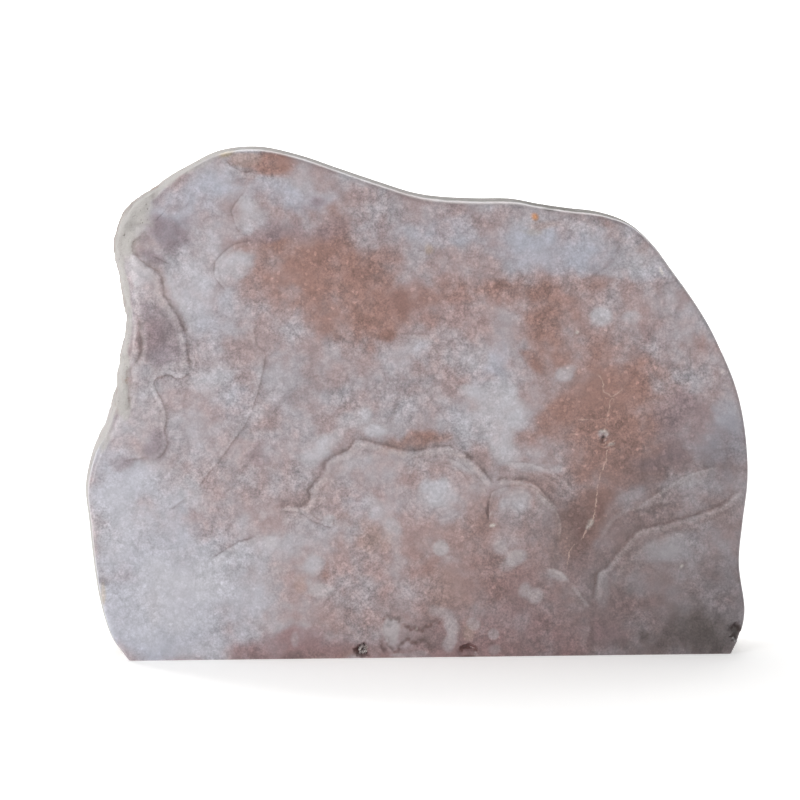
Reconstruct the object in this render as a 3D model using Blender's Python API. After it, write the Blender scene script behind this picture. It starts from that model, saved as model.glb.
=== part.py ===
"""A freeform slab of banded pink quartz: polished front, natural rind, flat sawn base.

Metres, +X along the length of the slab, +Y towards its back, +Z up.
The slab is lofted through rings of its outline, and its two broad faces are filled as grids.
"""
import math

import bmesh
import bpy
from mathutils import Matrix, Vector

MM = 0.001

# ---- driving sizes, in millimetres ----
DEPTH_AT_BASE = 43.0        # front face to back face, on the sawn base
BACK_LEAN = 0.085           # how far the back comes forward for each mm of height
RIM_ROUND = 2.0             # rounding of the polished rim at the front
RIND_ROUND = 6.0            # worn edge of the rind down the left side
SHOULDER_ROUND = 8.0        # and of the wide shoulder at its top
BACK_ROUND = 13.0           # worn rounding of the back rim, on average
BACK_ROUND_DRIFT = 4.0      # and how much that wanders along the rim
WALL_SWELL = 1.4            # how far the side walls bulge past the face outlines
FRONT_ARRIS = 0.5           # small break of the sawn base's front edge
BACK_ARRIS = 1.0            # and of its back edge

# ---- how finely it is lofted ----
BASE_STEPS = 44             # steps along the sawn base, and along the crest above it
SIDE_STEPS = 28             # steps up each side
FRONT_ARC_STEPS = 3
BACK_ARC_STEPS = 5

# The slab's outline seen from the front (x, z in mm), from the right end of the
# sawn base, up the right side, along the crest and down the left side.
OUTLINE = (
    (92.6, 0.0), (95.2, 5.5), (96.6, 13.5), (94.8, 27.0), (95.7, 39.0), (97.1, 51.0),
    (96.9, 61.0), (95.5, 71.5), (93.0, 81.0), (89.2, 90.0), (84.9, 98.5), (79.6, 106.7),
    (74.0, 114.3), (68.3, 121.8), (61.2, 127.9), (52.6, 130.9), (43.5, 132.0),
    (34.5, 133.3), (26.5, 134.7), (16.0, 134.8), (5.5, 135.3), (-3.0, 136.6),
    (-13.0, 139.7), (-25.5, 143.9), (-36.5, 147.6), (-48.0, 150.0), (-59.0, 149.0),
    (-68.2, 144.7), (-77.6, 139.3), (-85.7, 133.4), (-90.2, 123.5), (-88.2, 110.5),
    (-86.8, 99.5), (-88.4, 90.0), (-90.0, 80.5), (-92.3, 71.0), (-96.4, 61.4),
    (-98.6, 50.8), (-97.7, 40.2), (-96.6, 29.0), (-94.9, 17.5), (-91.8, 6.8), (-87.2, 0.0),
)
RIGHT_SHOULDER = (61.0, 127.6)      # where the right side turns into the crest
LEFT_SHOULDER = (-78.0, 140.3)      # where the crest turns into the left side
RUN_ON = 26.0                       # how far the outline runs on below the saw cut

# Lumps and hollows of the natural back: x, z, reach, height, all in mm.
BACK_LUMPS = (
    (-62.0, 118.0, 26.0, 3.2), (-22.0, 122.0, 20.0, -1.6), (14.0, 108.0, 28.0, 2.4),
    (58.0, 96.0, 24.0, 2.8), (-72.0, 74.0, 22.0, -2.2), (-34.0, 70.0, 30.0, 3.0),
    (22.0, 62.0, 22.0, -1.8), (66.0, 52.0, 24.0, 2.2), (-66.0, 30.0, 26.0, 2.0),
    (-10.0, 26.0, 26.0, 1.8), (44.0, 22.0, 20.0, -1.4),
)

# Flake scars on the back, each with a steep ledge: x, z, reach, depth, phase, all in mm
# but the phase, which turns the wavy edge of the scar.
BACK_SCARS = (
    (46.0, 34.0, 25.0, 2.6, 0.4), (-52.0, 99.0, 21.0, 2.2, 2.1), (6.0, 84.0, 15.0, 1.5, 4.0),
)
SCAR_EDGE = 6.0             # width of the ledge round a scar

# Open pits in the front face: x, z, half width, half height, depth, turn in degrees.
FRONT_PITS = (
    (-18.35, 2.4, 2.1, 2.1, 3.4, 0.0),      # crystal-lined vug on the base edge
    (13.15, 1.5, 3.0, 2.5, 2.6, 0.0),       # crescent vug beside it
    (53.4, 65.4, 0.9, 1.5, 2.0, 10.0),      # hole where the healed fracture widens
    (-85.3, 87.0, 1.6, 9.0, 2.0, 8.0),      # crevice between the rind and the quartz
    (-3.45, 2.6, 3.9, 2.4, 0.8, 0.0),       # rough ring left by the saw
)


def clear_scene():
    """Remove everything that is in the file."""
    for old in list(bpy.data.objects):
        bpy.data.objects.remove(old, do_unlink=True)


def new_collection(name):
    """Add a collection to the scene."""
    group = bpy.data.collections.new(name)
    bpy.context.scene.collection.children.link(group)
    return group


def spline_point(p0, p1, p2, p3, t):
    """A point of the Catmull-Rom curve between p1 and p2."""
    return 0.5 * (2 * p1 + (p2 - p0) * t + (2 * p0 - 5 * p1 + 4 * p2 - p3) * t * t
                  + (3 * p1 - p0 - 3 * p2 + p3) * t * t * t)


def free_outline():
    """The outline from sawn corner to sawn corner, finely sampled, run on below the cut."""
    points = [Vector(p) for p in OUTLINE]
    start, end = (points[0] - points[1]).normalized(), (points[-1] - points[-2]).normalized()
    points = [points[0] + start * RUN_ON] + points + [points[-1] + end * RUN_ON]
    points = [2 * points[0] - points[1]] + points + [2 * points[-1] - points[-2]]
    fine = []
    for i in range(1, len(points) - 2):
        fine += [spline_point(*points[i - 1:i + 3], k / 12) for k in range(12)]
    return fine + [points[-2]]


def nearest(path, point):
    """Index of the path's point that is nearest to a point."""
    return min(range(len(path)), key=lambda i: (path[i] - Vector(point)).length)


def evenly(points, steps):
    """The same run as a number of equal steps; the last point is left to the next run."""
    lengths = [0.0]
    for a, b in zip(points, points[1:]):
        lengths.append(lengths[-1] + (b - a).length)
    out, i = [], 0
    for k in range(steps):
        want = lengths[-1] * k / steps
        while lengths[i + 1] < want:
            i += 1
        span = lengths[i + 1] - lengths[i]
        out.append(points[i].lerp(points[i + 1], (want - lengths[i]) / max(span, 1e-9)))
    return out


def above(path, height):
    """The middle of a path, trimmed at both ends exactly at a height."""
    first = next(i for i, p in enumerate(path) if p[2] >= height)
    last = len(path) - 1 - next(i for i, p in enumerate(path[::-1]) if p[2] >= height)
    ends = []
    for inner, outer in ((path[first], path[first - 1]), (path[last], path[last + 1])):
        ends.append(outer.lerp(inner, (height - outer.z) / max(inner.z - outer.z, 1e-9)))
    return [ends[0]] + path[first + 1:last] + [ends[1]]


def ease(value, low, high):
    """Smooth step from 0 at low to 1 at high."""
    t = min(max((value - low) / (high - low), 0.0), 1.0)
    return t * t * (3 - 2 * t)


def rind_share(x, z):
    """How much of the rim here is natural rind: 1 down the left side, 0 where polished."""
    return ease(-x, 66.0, 84.0) * ease(z, 52.0, 84.0)


def scar_depth(x, z, scar):
    """How deep one flake scar of the back is at a point."""
    cx, cz, reach, depth, phase = scar
    edge = reach * (1.0 + 0.16 * math.sin(3 * math.atan2(z - cz, x - cx) + phase))
    return depth * (1.0 - ease(math.hypot(x - cx, z - cz), edge - SCAR_EDGE, edge))


def back_face_y(x, z):
    """How far back the natural back lies behind the front face."""
    lumps = sum(height * math.exp(-((x - cx) ** 2 + (z - cz) ** 2) / reach ** 2)
                for cx, cz, reach, height in BACK_LUMPS)
    lumps -= sum(scar_depth(x, z, scar) for scar in BACK_SCARS)
    return DEPTH_AT_BASE - BACK_LEAN * z + lumps * ease(z, -6.0, 16.0)


def rim_section(p, n):
    """Section of the rim at an outline point: pairs of (inset, depth behind the front)."""
    rind = rind_share(p.x, p.y)
    worn = RIND_ROUND + (SHOULDER_ROUND - RIND_ROUND) * ease(p.y, 102.0, 126.0)
    front = RIM_ROUND + (worn - RIM_ROUND) * rind
    back = BACK_ROUND + BACK_ROUND_DRIFT * math.sin(p.x * 0.07 + 0.8) * math.cos(p.y * 0.05)
    inner = p - n * back
    end = back_face_y(inner.x, inner.y)
    section = [(front * (1 - math.sin(t)), front * (1 - math.cos(t)) * (1 - 0.35 * rind))
               for t in (math.pi / 2 * k / FRONT_ARC_STEPS for k in range(FRONT_ARC_STEPS + 1))]
    start, span = section[-1][1], end - back * 0.8 - section[-1][1]
    section += [(-WALL_SWELL * 0.8, start + span * 0.3), (-WALL_SWELL, start + span * 0.65)]
    section += [(back * (1 - math.cos(t)), end - back * 0.8 * (1 - math.sin(t)))
                for t in (math.pi / 2 * k / BACK_ARC_STEPS for k in range(BACK_ARC_STEPS + 1))]
    return section


def rim_paths():
    """One path for each level of the rim, from the front face's edge to the back's."""
    free = free_outline()
    paths = None
    for i, p in enumerate(free):
        along = free[min(i + 1, len(free) - 1)] - free[max(i - 1, 0)]
        n = Vector((along.y, -along.x)).normalized()
        section = rim_section(p, n)
        paths = paths or [[] for _ in section]
        for path, (inset, depth) in zip(paths, section):
            q = p - n * inset
            path.append(Vector((q.x, depth, q.y)))
    return paths


def ring_from(path, height, marks):
    """A level's path as a ring: base (left to right), right side, crest, left side."""
    a, b = marks[0] / marks[2], marks[1] / marks[2]
    path = above(path, height)
    a, b = round(a * len(path)), round(b * len(path))
    return (evenly([path[-1], path[0]], BASE_STEPS) + evenly(path[:a + 1], SIDE_STEPS)
            + evenly(path[a:b + 1], BASE_STEPS) + evenly(path[b:], SIDE_STEPS))


def loft_rings():
    """Rings of 3-D points from the front face's edge to the back face's edge."""
    free, paths = free_outline(), rim_paths()
    marks = (nearest(free, RIGHT_SHOULDER), nearest(free, LEFT_SHOULDER), len(free))
    heights = [FRONT_ARRIS] + [0.0] * (len(paths) - 2) + [BACK_ARRIS]
    return [ring_from(path, height, marks) for path, height in zip(paths, heights)]


def coons_grid(edge):
    """Points that fill a ring of four sides, blended from its edges."""
    n, m = BASE_STEPS, SIDE_STEPS
    bottom = edge[:n + 1]
    right = edge[n:n + m + 1]
    top = edge[n + m:2 * n + m + 1][::-1]
    left = (edge[2 * n + m:] + edge[:1])[::-1]
    grid = []
    for j in range(m + 1):
        v = j / m
        grid.append([])
        for i in range(n + 1):
            u = i / n
            across = left[j] * (1 - u) + right[j] * u + bottom[i] * (1 - v) + top[i] * v
            corners = (bottom[0] * (1 - u) * (1 - v) + bottom[n] * u * (1 - v)
                       + top[0] * (1 - u) * v + top[n] * u * v)
            grid[-1].append(across - corners)
    return grid


def fill_face(mesh, loop, is_back):
    """Fill one broad face of the slab inside its ring of vertices."""
    n, m = BASE_STEPS, SIDE_STEPS
    grid = coons_grid([v.co.copy() for v in loop])
    verts = [[None] * (n + 1) for _ in range(m + 1)]
    for i in range(n + 1):
        verts[0][i] = loop[i]
        verts[m][i] = loop[2 * n + m - i]
    for j in range(m + 1):
        verts[j][n] = loop[n + j]
        verts[j][0] = loop[(2 * (n + m) - j) % len(loop)]
    for j in range(1, m):
        for i in range(1, n):
            q = grid[j][i]
            if is_back:
                q.y = back_face_y(q.x, q.z)
            verts[j][i] = mesh.verts.new(q)
    for j in range(m):
        for i in range(n):
            mesh.faces.new((verts[j][i], verts[j][i + 1], verts[j + 1][i + 1], verts[j + 1][i]))


def slab_mesh():
    """The whole slab as one closed mesh."""
    mesh = bmesh.new()
    rings = [[mesh.verts.new(p) for p in ring] for ring in loft_rings()]
    for a, b in zip(rings, rings[1:]):
        for i in range(len(a)):
            k = (i + 1) % len(a)
            mesh.faces.new((a[i], a[k], b[k], b[i]))
    fill_face(mesh, rings[0], False)
    fill_face(mesh, rings[-1], True)
    bmesh.ops.recalc_face_normals(mesh, faces=mesh.faces)
    return mesh


def add_object(mesh, name, group):
    """Turn a bmesh in millimetres into an object in metres."""
    bmesh.ops.scale(mesh, vec=(MM, MM, MM), verts=mesh.verts)
    data = bpy.data.meshes.new(name)
    mesh.to_mesh(data)
    mesh.free()
    thing = bpy.data.objects.new(name, data)
    group.objects.link(thing)
    return thing


def add_ellipsoid(mesh, pit):
    """Add one pit's ellipsoid to the cutter, centred on the plane of the front face."""
    x, z, half_width, half_height, depth, turn = pit
    ball = bmesh.ops.create_icosphere(mesh, subdivisions=2, radius=1.0)["verts"]
    bmesh.ops.scale(mesh, vec=(half_width, depth, half_height), verts=ball)
    lean = Matrix.Rotation(math.radians(turn), 3, "Y")
    bmesh.ops.rotate(mesh, cent=(0, 0, 0), matrix=lean, verts=ball)
    bmesh.ops.translate(mesh, vec=(x, 0.0, z), verts=ball)


def pit_cutter(shift, group):
    """All the open pits of the front face as one cutter."""
    mesh = bmesh.new()
    for pit in FRONT_PITS:
        add_ellipsoid(mesh, pit)
    bmesh.ops.translate(mesh, vec=-shift / MM, verts=mesh.verts)
    cutter = add_object(mesh, "front_pits", group)
    cutter.hide_render = True
    cutter.display_type = "WIRE"
    return cutter


def cut(thing, cutter):
    """Subtract a cutter from the slab."""
    step = thing.modifiers.new(cutter.name, "BOOLEAN")
    step.operation = "DIFFERENCE"
    step.solver = "EXACT"
    step.object = cutter


def quartz_material():
    """Pale greyish-pink polished quartz."""
    stone = bpy.data.materials.new("polished_pink_quartz")
    stone.use_nodes = True
    surface = stone.node_tree.nodes["Principled BSDF"]
    surface.inputs["Base Color"].default_value = (0.37, 0.29, 0.29, 1.0)
    surface.inputs["Roughness"].default_value = 0.25
    surface.inputs["IOR"].default_value = 1.54
    return stone


def centre_on_base(thing):
    """Put the origin at the middle of the bounding box, on the sawn base."""
    corners = [v.co for v in thing.data.vertices]
    low = Vector([min(c[k] for c in corners) for k in range(3)])
    high = Vector([max(c[k] for c in corners) for k in range(3)])
    shift = Vector(((low.x + high.x) / 2, (low.y + high.y) / 2, low.z))
    for vert in thing.data.vertices:
        vert.co -= shift
    return shift


def shade(thing):
    """Smooth shading, with the sawn edges kept crisp."""
    for face in thing.data.polygons:
        face.use_smooth = True
    thing.data.set_sharp_from_angle(angle=math.radians(35))


def main():
    """Build the slab."""
    clear_scene()
    group, cutters = new_collection("rose_quartz_slab"), new_collection("cutters")
    stone = add_object(slab_mesh(), "rose_quartz", group)
    shift = centre_on_base(stone)
    stone.data.materials.append(quartz_material())
    shade(stone)
    cut(stone, pit_cutter(shift, cutters))


main()
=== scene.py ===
"""Looks of a freeform slab of banded pink quartz that stands on its sawn base.

The slab is one stone: a polished front, worn rims, a strip of natural rind down its
left side and a natural back with flake scars. Shapes and markings are worked out in
millimetres, in the slab's own axes (+X along it, +Y to its back, +Z up), and are turned
to metres when a mesh is made. The markings run through the stone, so its rims, scars and
sawn base show the same veins as its front.
"""
import logging
import math
from dataclasses import dataclass
from enum import Enum

import bpy
import numpy as np
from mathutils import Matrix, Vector, noise


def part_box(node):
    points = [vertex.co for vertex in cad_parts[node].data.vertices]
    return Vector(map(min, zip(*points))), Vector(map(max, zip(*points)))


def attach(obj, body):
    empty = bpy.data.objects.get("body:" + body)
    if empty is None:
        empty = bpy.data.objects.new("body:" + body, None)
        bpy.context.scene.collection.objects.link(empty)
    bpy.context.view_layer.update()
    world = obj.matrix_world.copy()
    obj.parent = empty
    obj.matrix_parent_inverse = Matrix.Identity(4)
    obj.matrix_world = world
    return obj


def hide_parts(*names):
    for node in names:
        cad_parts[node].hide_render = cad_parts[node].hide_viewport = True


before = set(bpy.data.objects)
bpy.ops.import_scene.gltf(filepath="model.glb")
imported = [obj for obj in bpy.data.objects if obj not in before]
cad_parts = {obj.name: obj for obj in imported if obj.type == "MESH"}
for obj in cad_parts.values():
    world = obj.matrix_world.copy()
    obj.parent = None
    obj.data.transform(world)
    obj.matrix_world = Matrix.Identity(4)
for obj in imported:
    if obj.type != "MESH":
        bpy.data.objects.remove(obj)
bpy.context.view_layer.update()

log = logging.getLogger("rose_quartz")

MM = 0.001
NODE = "rose_quartz"
BODY = "root"
NOISE_SEED = 3  # so that every run bends the stains and the crust alike

Socket = bpy.types.NodeSocket
Array = np.ndarray
Span = tuple[float, float]


def linear(hex_colour: str) -> tuple[float, float, float, float]:
    """Turn an sRGB hex colour to linear light.

    Args:
        hex_colour: the colour, as #RRGGBB.

    Returns:
        Linear red, green, blue and alpha.
    """
    parts = [int(hex_colour[k:k + 2], 16) / 255 for k in (1, 3, 5)]
    lit = [c / 12.92 if c <= 0.04045 else ((c + 0.055) / 1.055) ** 2.4 for c in parts]
    return (*lit, 1.0)


# ---- minerals

class Mineral(Enum):
    """What colours the quartz, mostly stains and fills: its polished colour, and how the clouds fray its
    edge.
    """

    HAZE = ("#A98C88", 0.5)
    # DUSK darkens with little tint of its own; its broad ovals darken the front, most towards the bottom
    # right.
    DUSK = ("#5E4F50", 0.15)
    RUST = ("#9A776E", 0.8)
    UMBER = ("#8C6A61", 0.6)
    MAUVE = ("#8C7E85", 0.8)
    # Milky quartz, and one painted highlight by the left ledge.
    MILK_AND_HIGHLIGHT = ("#C0BEC4", -0.5)
    BLUE = ("#B0B2BE", -0.6)
    OCHRE = ("#AF9A72", 0.6)
    AMBER = ("#C98B57", 0.2)
    SMOKY = ("#544A48", 0.7)
    ROSE = ("#927577", 0.6)
    # Pale chips, and two painted glints on the right rim.
    CHIP_AND_GLINT = ("#D9D2CB", 0.2)
    # Liver-brown stains and dots, and painted shade in the pit by the base.
    LIVER_AND_SHADE = ("#704F4B", 0.3)
    OPAL = ("#B9B3B6", 0.1)
    PEACH = ("#AE958E", 0.4)


# The colours in the order they are laid over each other, three to a stored attribute.
STAIN_ORDER = {
    "stain_a": (Mineral.HAZE, Mineral.BLUE, Mineral.RUST),
    "stain_b": (Mineral.UMBER, Mineral.MAUVE, Mineral.MILK_AND_HIGHLIGHT),
    "stain_c": (Mineral.DUSK, Mineral.OCHRE, Mineral.ROSE),
    "stain_d": (Mineral.PEACH, Mineral.LIVER_AND_SHADE, Mineral.OPAL),
    "stain_e": (Mineral.SMOKY, Mineral.AMBER, Mineral.CHIP_AND_GLINT),
}


class Side(Enum):
    """The side of a vein that its pale band lies on, as one walks along its points."""

    LEFT = 1.0
    RIGHT = -1.0


@dataclass(frozen=True)
class Patch:
    """A soft-edged oval of one mineral on the plane of the front face.

    x, z, half_width and half_height are in mm and turn is in degrees. soft is how much of
    the oval fades, and strength is how strong it is in the middle.
    """

    x: float
    z: float
    half_width: float
    half_height: float
    soft: float
    strength: float
    turn: float = 0.0


def ovals(*rows: tuple[float, ...]) -> tuple[Patch, ...]:
    """Patches from rows of their values, in the order of the fields."""
    return tuple(Patch(*row) for row in rows)


@dataclass(frozen=True)
class Vein:
    """A thin band that was laid down in the quartz, or a crack that healed.

    width is its half width in mm, dark and pale are the strengths of its brown seam and
    of the pale band beside it, and points are (x, z) in mm on the front face.
    """

    name: str
    width: float
    dark: float
    pale: float
    points: tuple[tuple[float, float], ...]
    side: Side = Side.RIGHT


@dataclass(frozen=True)
class Eye:
    """A round agate eye: rings about a centre, in mm, that fade out towards its reach."""

    x: float
    z: float
    reach: float
    spacing: float
    strength: float


# Seams that the quartz grew in, each with its pale band.
SEAMS = (
    Vein("lobe_foot", 0.55, 0.95, 0.3, ((-57.8, 147.1), (-53.1, 143.9), (-50.8, 143.6), (-48.4, 144.5))),
    Vein("collar", 0.35, 0.6, 0.2, ((-51.4, 138.7), (-55.2, 133.5), (-55.5, 131.4), (-54.1, 127.3),
        (-52.6, 125.9)), Side.LEFT),
    Vein("left_ledge", 0.9, 0.95, 0.75, ((-79.4, 127.0), (-83.2, 124.4), (-84.3, 123.0), (-84.6, 121.2),
        (-82.3, 118.0), (-76.8, 113.9), (-74.9, 106.9), (-69.7, 98.4), (-68.0, 87.3), (-67.1, 85.8))),
    Vein("ledge_twin", 0.6, 0.5, 0.1, ((-79.4, 119.5), (-73.0, 116.3))),
    Vein("inner_loop", 0.35, 0.6, 0.25, ((-49.1, 123.8), (-55.2, 122.4), (-59.9, 118.3), (-60.8, 116.2),
        (-60.8, 113.9), (-60.0, 111.9), (-56.8, 108.6)), Side.LEFT),
    Vein("left_lobe", 0.5, 0.85, 0.4, ((-67.1, 85.2), (-71.5, 83.2), (-73.8, 84.4), (-76.2, 84.1),
        (-78.5, 81.8), (-75.1, 74.1), (-75.4, 68.2), (-74.8, 65.3), (-75.1, 62.6), (-76.9, 60.6),
        (-79.2, 59.4))),
    Vein("left_lobe_tail", 0.6, 0.7, 0.2, ((-79.8, 60.3), (-88.0, 59.2))),
    Vein("rind_crevice", 0.75, 1.0, 0.3, ((-83.0, 101.1), (-82.2, 91.2), (-85.8, 85.9), (-86.4, 83.6),
        (-85.8, 78.6), (-86.4, 73.9))),
    Vein("left_nick", 0.4, 0.5, 0.1, ((-79.2, 106.4), (-77.2, 102.3)), Side.LEFT),
    Vein("left_nick_2", 0.4, 0.4, 0.1, ((-75.2, 101.7), (-75.2, 99.0)), Side.LEFT),
    Vein("long_run", 0.5, 0.7, 0.3, ((-49.2, 99.0), (-48.4, 93.1), (-46.0, 89.3), (-50.2, 73.1),
        (-57.3, 62.2), (-66.1, 51.1))),
    Vein("long_run_tail", 0.4, 0.6, 0.1, ((-68.2, 49.0), (-74.7, 44.1))),
    Vein("side_run", 0.4, 0.5, 0.1, ((-50.2, 59.5), (-54.4, 54.0))),
    Vein("side_run_tail", 0.5, 0.3, 0.1, ((-56.1, 53.4), (-57.6, 51.3))),
    Vein("blue_edge", 0.5, 0.8, 0.3, ((-48.6, 36.7), (-54.5, 34.7), (-62.7, 29.7)), Side.LEFT),
    Vein("main_contour", 0.8, 1.0, 0.7, ((-42.9, 45.0), (-38.8, 45.9), (-35.6, 45.2), (-33.8, 46.7),
        (-32.9, 48.8), (-33.2, 50.5), (-29.7, 54.7), (-27.9, 59.1), (-22.0, 62.0), (-20.5, 64.1),
        (-17.5, 65.0), (-3.4, 61.9), (5.5, 63.0), (10.0, 62.4), (15.9, 58.5), (21.6, 51.6))),
    Vein("second_contour", 0.75, 1.0, 0.8, ((21.9, 51.9), (23.4, 53.1), (26.4, 53.4), (32.3, 52.5),
        (34.4, 51.3), (41.3, 44.0))),
    Vein("ring_1", 0.3, 0.5, 0.3, ((-5.1, 56.6), (-3.9, 58.3), (-1.9, 59.5), (7.0, 59.5), (11.5, 58.0),
        (17.1, 53.2), (18.9, 50.8), (19.8, 47.8))),
    Vein("ring_2", 0.25, 0.3, 0.2, ((1.1, 57.7), (5.5, 58.0), (10.0, 56.8), (15.3, 51.7))),
    Vein("second_ring", 0.35, 0.5, 0.4, ((19.8, 46.9), (20.7, 49.0), (22.5, 50.1), (26.4, 51.0),
        (32.3, 50.7), (35.3, 48.9), (40.7, 43.2), (41.9, 39.3), (41.6, 34.8))),
    Vein("open_crack", 0.35, 1.0, 0.1, ((21.0, 49.9), (19.5, 43.9), (20.4, 40.0)), Side.LEFT),
    Vein("pink_run", 0.35, 0.75, 0.1, ((-41.8, 44.1), (-35.9, 43.5), (-31.5, 40.8),
        (-25.6, 38.6)), Side.LEFT),
    Vein("pink_run_up", 0.3, 0.7, 0.0, ((-25.8, 42.2), (-25.8, 39.2)), Side.LEFT),
    Vein("short_ring", 0.3, 0.3, 0.1, ((-24.1, 46.9), (-21.1, 47.5), (-17.6, 46.9)), Side.LEFT),
    Vein("low_dash", 0.3, 0.4, 0.0, ((17.5, 17.4), (22.6, 17.0)), Side.LEFT),
    Vein("rust_streak", 1.0, 0.6, 0.0, ((-6.9, 76.1), (-9.0, 70.2)), Side.LEFT),
    Vein("centre_dash", 0.35, 0.35, 0.3, ((-7.8, 96.2), (5.5, 96.1))),
    Vein("purple_run", 1.2, 0.5, 0.0, ((58.5, 124.9), (58.2, 119.3), (56.5, 117.0),
        (47.9, 110.8)), Side.LEFT),
    Vein("rust_edge", 0.8, 0.3, 0.0, ((14.3, 115.0), (29.2, 109.1)), Side.LEFT),
    Vein("fold_edge", 0.5, 0.7, 0.6, ((37.2, 27.0), (41.4, 25.8), (45.3, 22.2))),
    Vein("fold_tail", 0.5, 0.3, 0.6, ((45.3, 22.2), (51.0, 14.6))),
    Vein("foot_run", 0.9, 0.5, 0.3, ((50.2, 10.1), (51.1, 7.7), (49.3, 1.7))),
    Vein("foot_run_2", 0.6, 0.4, 0.0, ((53.5, 5.3), (53.5, 1.1)), Side.LEFT),
    Vein("right_lobe", 0.75, 1.0, 0.55, ((51.3, 16.2), (52.5, 24.5), (55.4, 27.0), (62.8, 36.1),
        (66.2, 38.2), (75.2, 40.2), (88.7, 44.6), (94.9, 49.6))),
    Vein("right_lobe_inner", 1.0, 0.4, 0.3, ((55.5, 19.7), (57.0, 24.2), (60.0, 28.3), (63.8, 31.9),
        (68.3, 34.5), (80.3, 39.5))),
    Vein("right_flow", 0.6, 0.45, 0.3, ((54.5, 35.3), (60.2, 41.8), (74.4, 45.9)), Side.LEFT),
    Vein("right_flow_2", 0.5, 0.4, 0.6, ((62.9, 43.6), (75.1, 51.9), (81.9, 55.1), (88.6, 56.7))),
    Vein("wide_streak", 1.6, 0.32, 0.1, ((-37.8, 81.6), (-41.7, 76.9), (-49.9, 60.7), (-55.8, 53.4),
        (-58.2, 47.5))),
    Vein("echo_1", 0.4, 0.4, 0.3, ((24.9, 58.2), (30.8, 58.1), (36.8, 56.3), (41.9, 53.3), (46.1, 49.7))),
    Vein("echo_2", 0.35, 0.35, 0.3, ((25.8, 55.8), (32.3, 55.7), (37.7, 53.6), (41.9, 50.3),
        (43.7, 46.7))),
    Vein("soft_a", 0.5, 0.4, 0.1, ((-75.5, 140.7), (-78.2, 136.1), (-78.2, 132.0))),
    Vein("soft_b", 0.5, 0.35, 0.1, ((-66.8, 137.8), (-69.5, 132.0))),
    Vein("saw_ring_a", 0.75, 1.0, 0.2, ((-6.9, 1.8), (-6.3, 3.5), (-4.5, 5.3), (-3.6, 5.6), (-2.7, 4.4),
        (-1.9, 5.0), (-1.0, 3.8), (0.5, 5.3), (2.3, 4.0), (3.2, 0.4))),
    Vein("saw_ring_b", 0.65, 0.95, 0.1, ((-5.1, 10.1), (-4.2, 8.9), (-3.6, 9.5), (-3.0, 8.3), (-2.1, 9.2),
        (-1.3, 8.0), (-0.4, 8.9), (0.5, 8.0), (1.4, 9.4), (2.6, 9.1), (3.2, 10.6), (4.7, 11.2),
        (5.6, 10.3))),
    Vein("saw_ring_c", 0.7, 1.0, 0.3, ((-11.4, 10.8), (-10.8, 12.3), (-9.6, 12.3), (-9.0, 11.4),
        (-8.4, 12.2), (-7.5, 11.3), (-6.6, 11.9), (-7.2, 10.4), (-8.1, 10.1))),
    Vein("saw_ring_d", 0.55, 0.7, 0.2, ((-12.6, 5.4), (-11.4, 4.5), (-12.0, 3.3), (-11.1, 2.4),
        (-11.7, 0.9))),
    Vein("saw_ring_e", 0.55, 0.9, 0.1, ((-10.5, 6.6), (-9.6, 5.1), (-10.2, 3.9), (-7.8, 1.8))),
    Vein("right_grey", 0.4, 0.4, 0.1, ((79.9, 92.7), (80.3, 83.7)), Side.LEFT),
    Vein("right_grey_2", 0.4, 0.35, 0.0, ((73.3, 96.5), (76.9, 98.6)), Side.LEFT),
)

# One old crack across the rust, with its arms, healed with cream chalcedony.
HEALED_CRACKS = (
    Vein("fracture_top", 0.3, 0.0, 0.8, ((52.2, 84.7), (54.0, 81.5), (54.0, 79.1), (56.1, 77.0),
        (54.1, 65.4)), Side.LEFT),
    Vein("fracture_low", 0.3, 0.0, 0.9, ((54.1, 65.4), (55.0, 63.0), (55.0, 58.6), (52.9, 52.6),
        (51.8, 43.7), (50.9, 40.7), (47.3, 34.4), (45.2, 33.0), (44.1, 30.9),
        (43.5, 27.0)), Side.LEFT),
    Vein("fracture_arm_left", 0.28, 0.0, 0.8, ((41.2, 65.2), (42.7, 66.1), (47.2, 66.4)), Side.LEFT),
    Vein("fracture_arm_up", 0.28, 0.0, 0.75, ((45.7, 70.8), (52.2, 70.5)), Side.LEFT),
    Vein("fracture_arm_right", 0.28, 0.0, 0.8, ((56.1, 77.0), (60.0, 79.7)), Side.LEFT),
    Vein("fracture_arm_low", 0.28, 0.0, 0.8, ((54.7, 62.7), (57.7, 64.5)), Side.LEFT),
)
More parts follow.
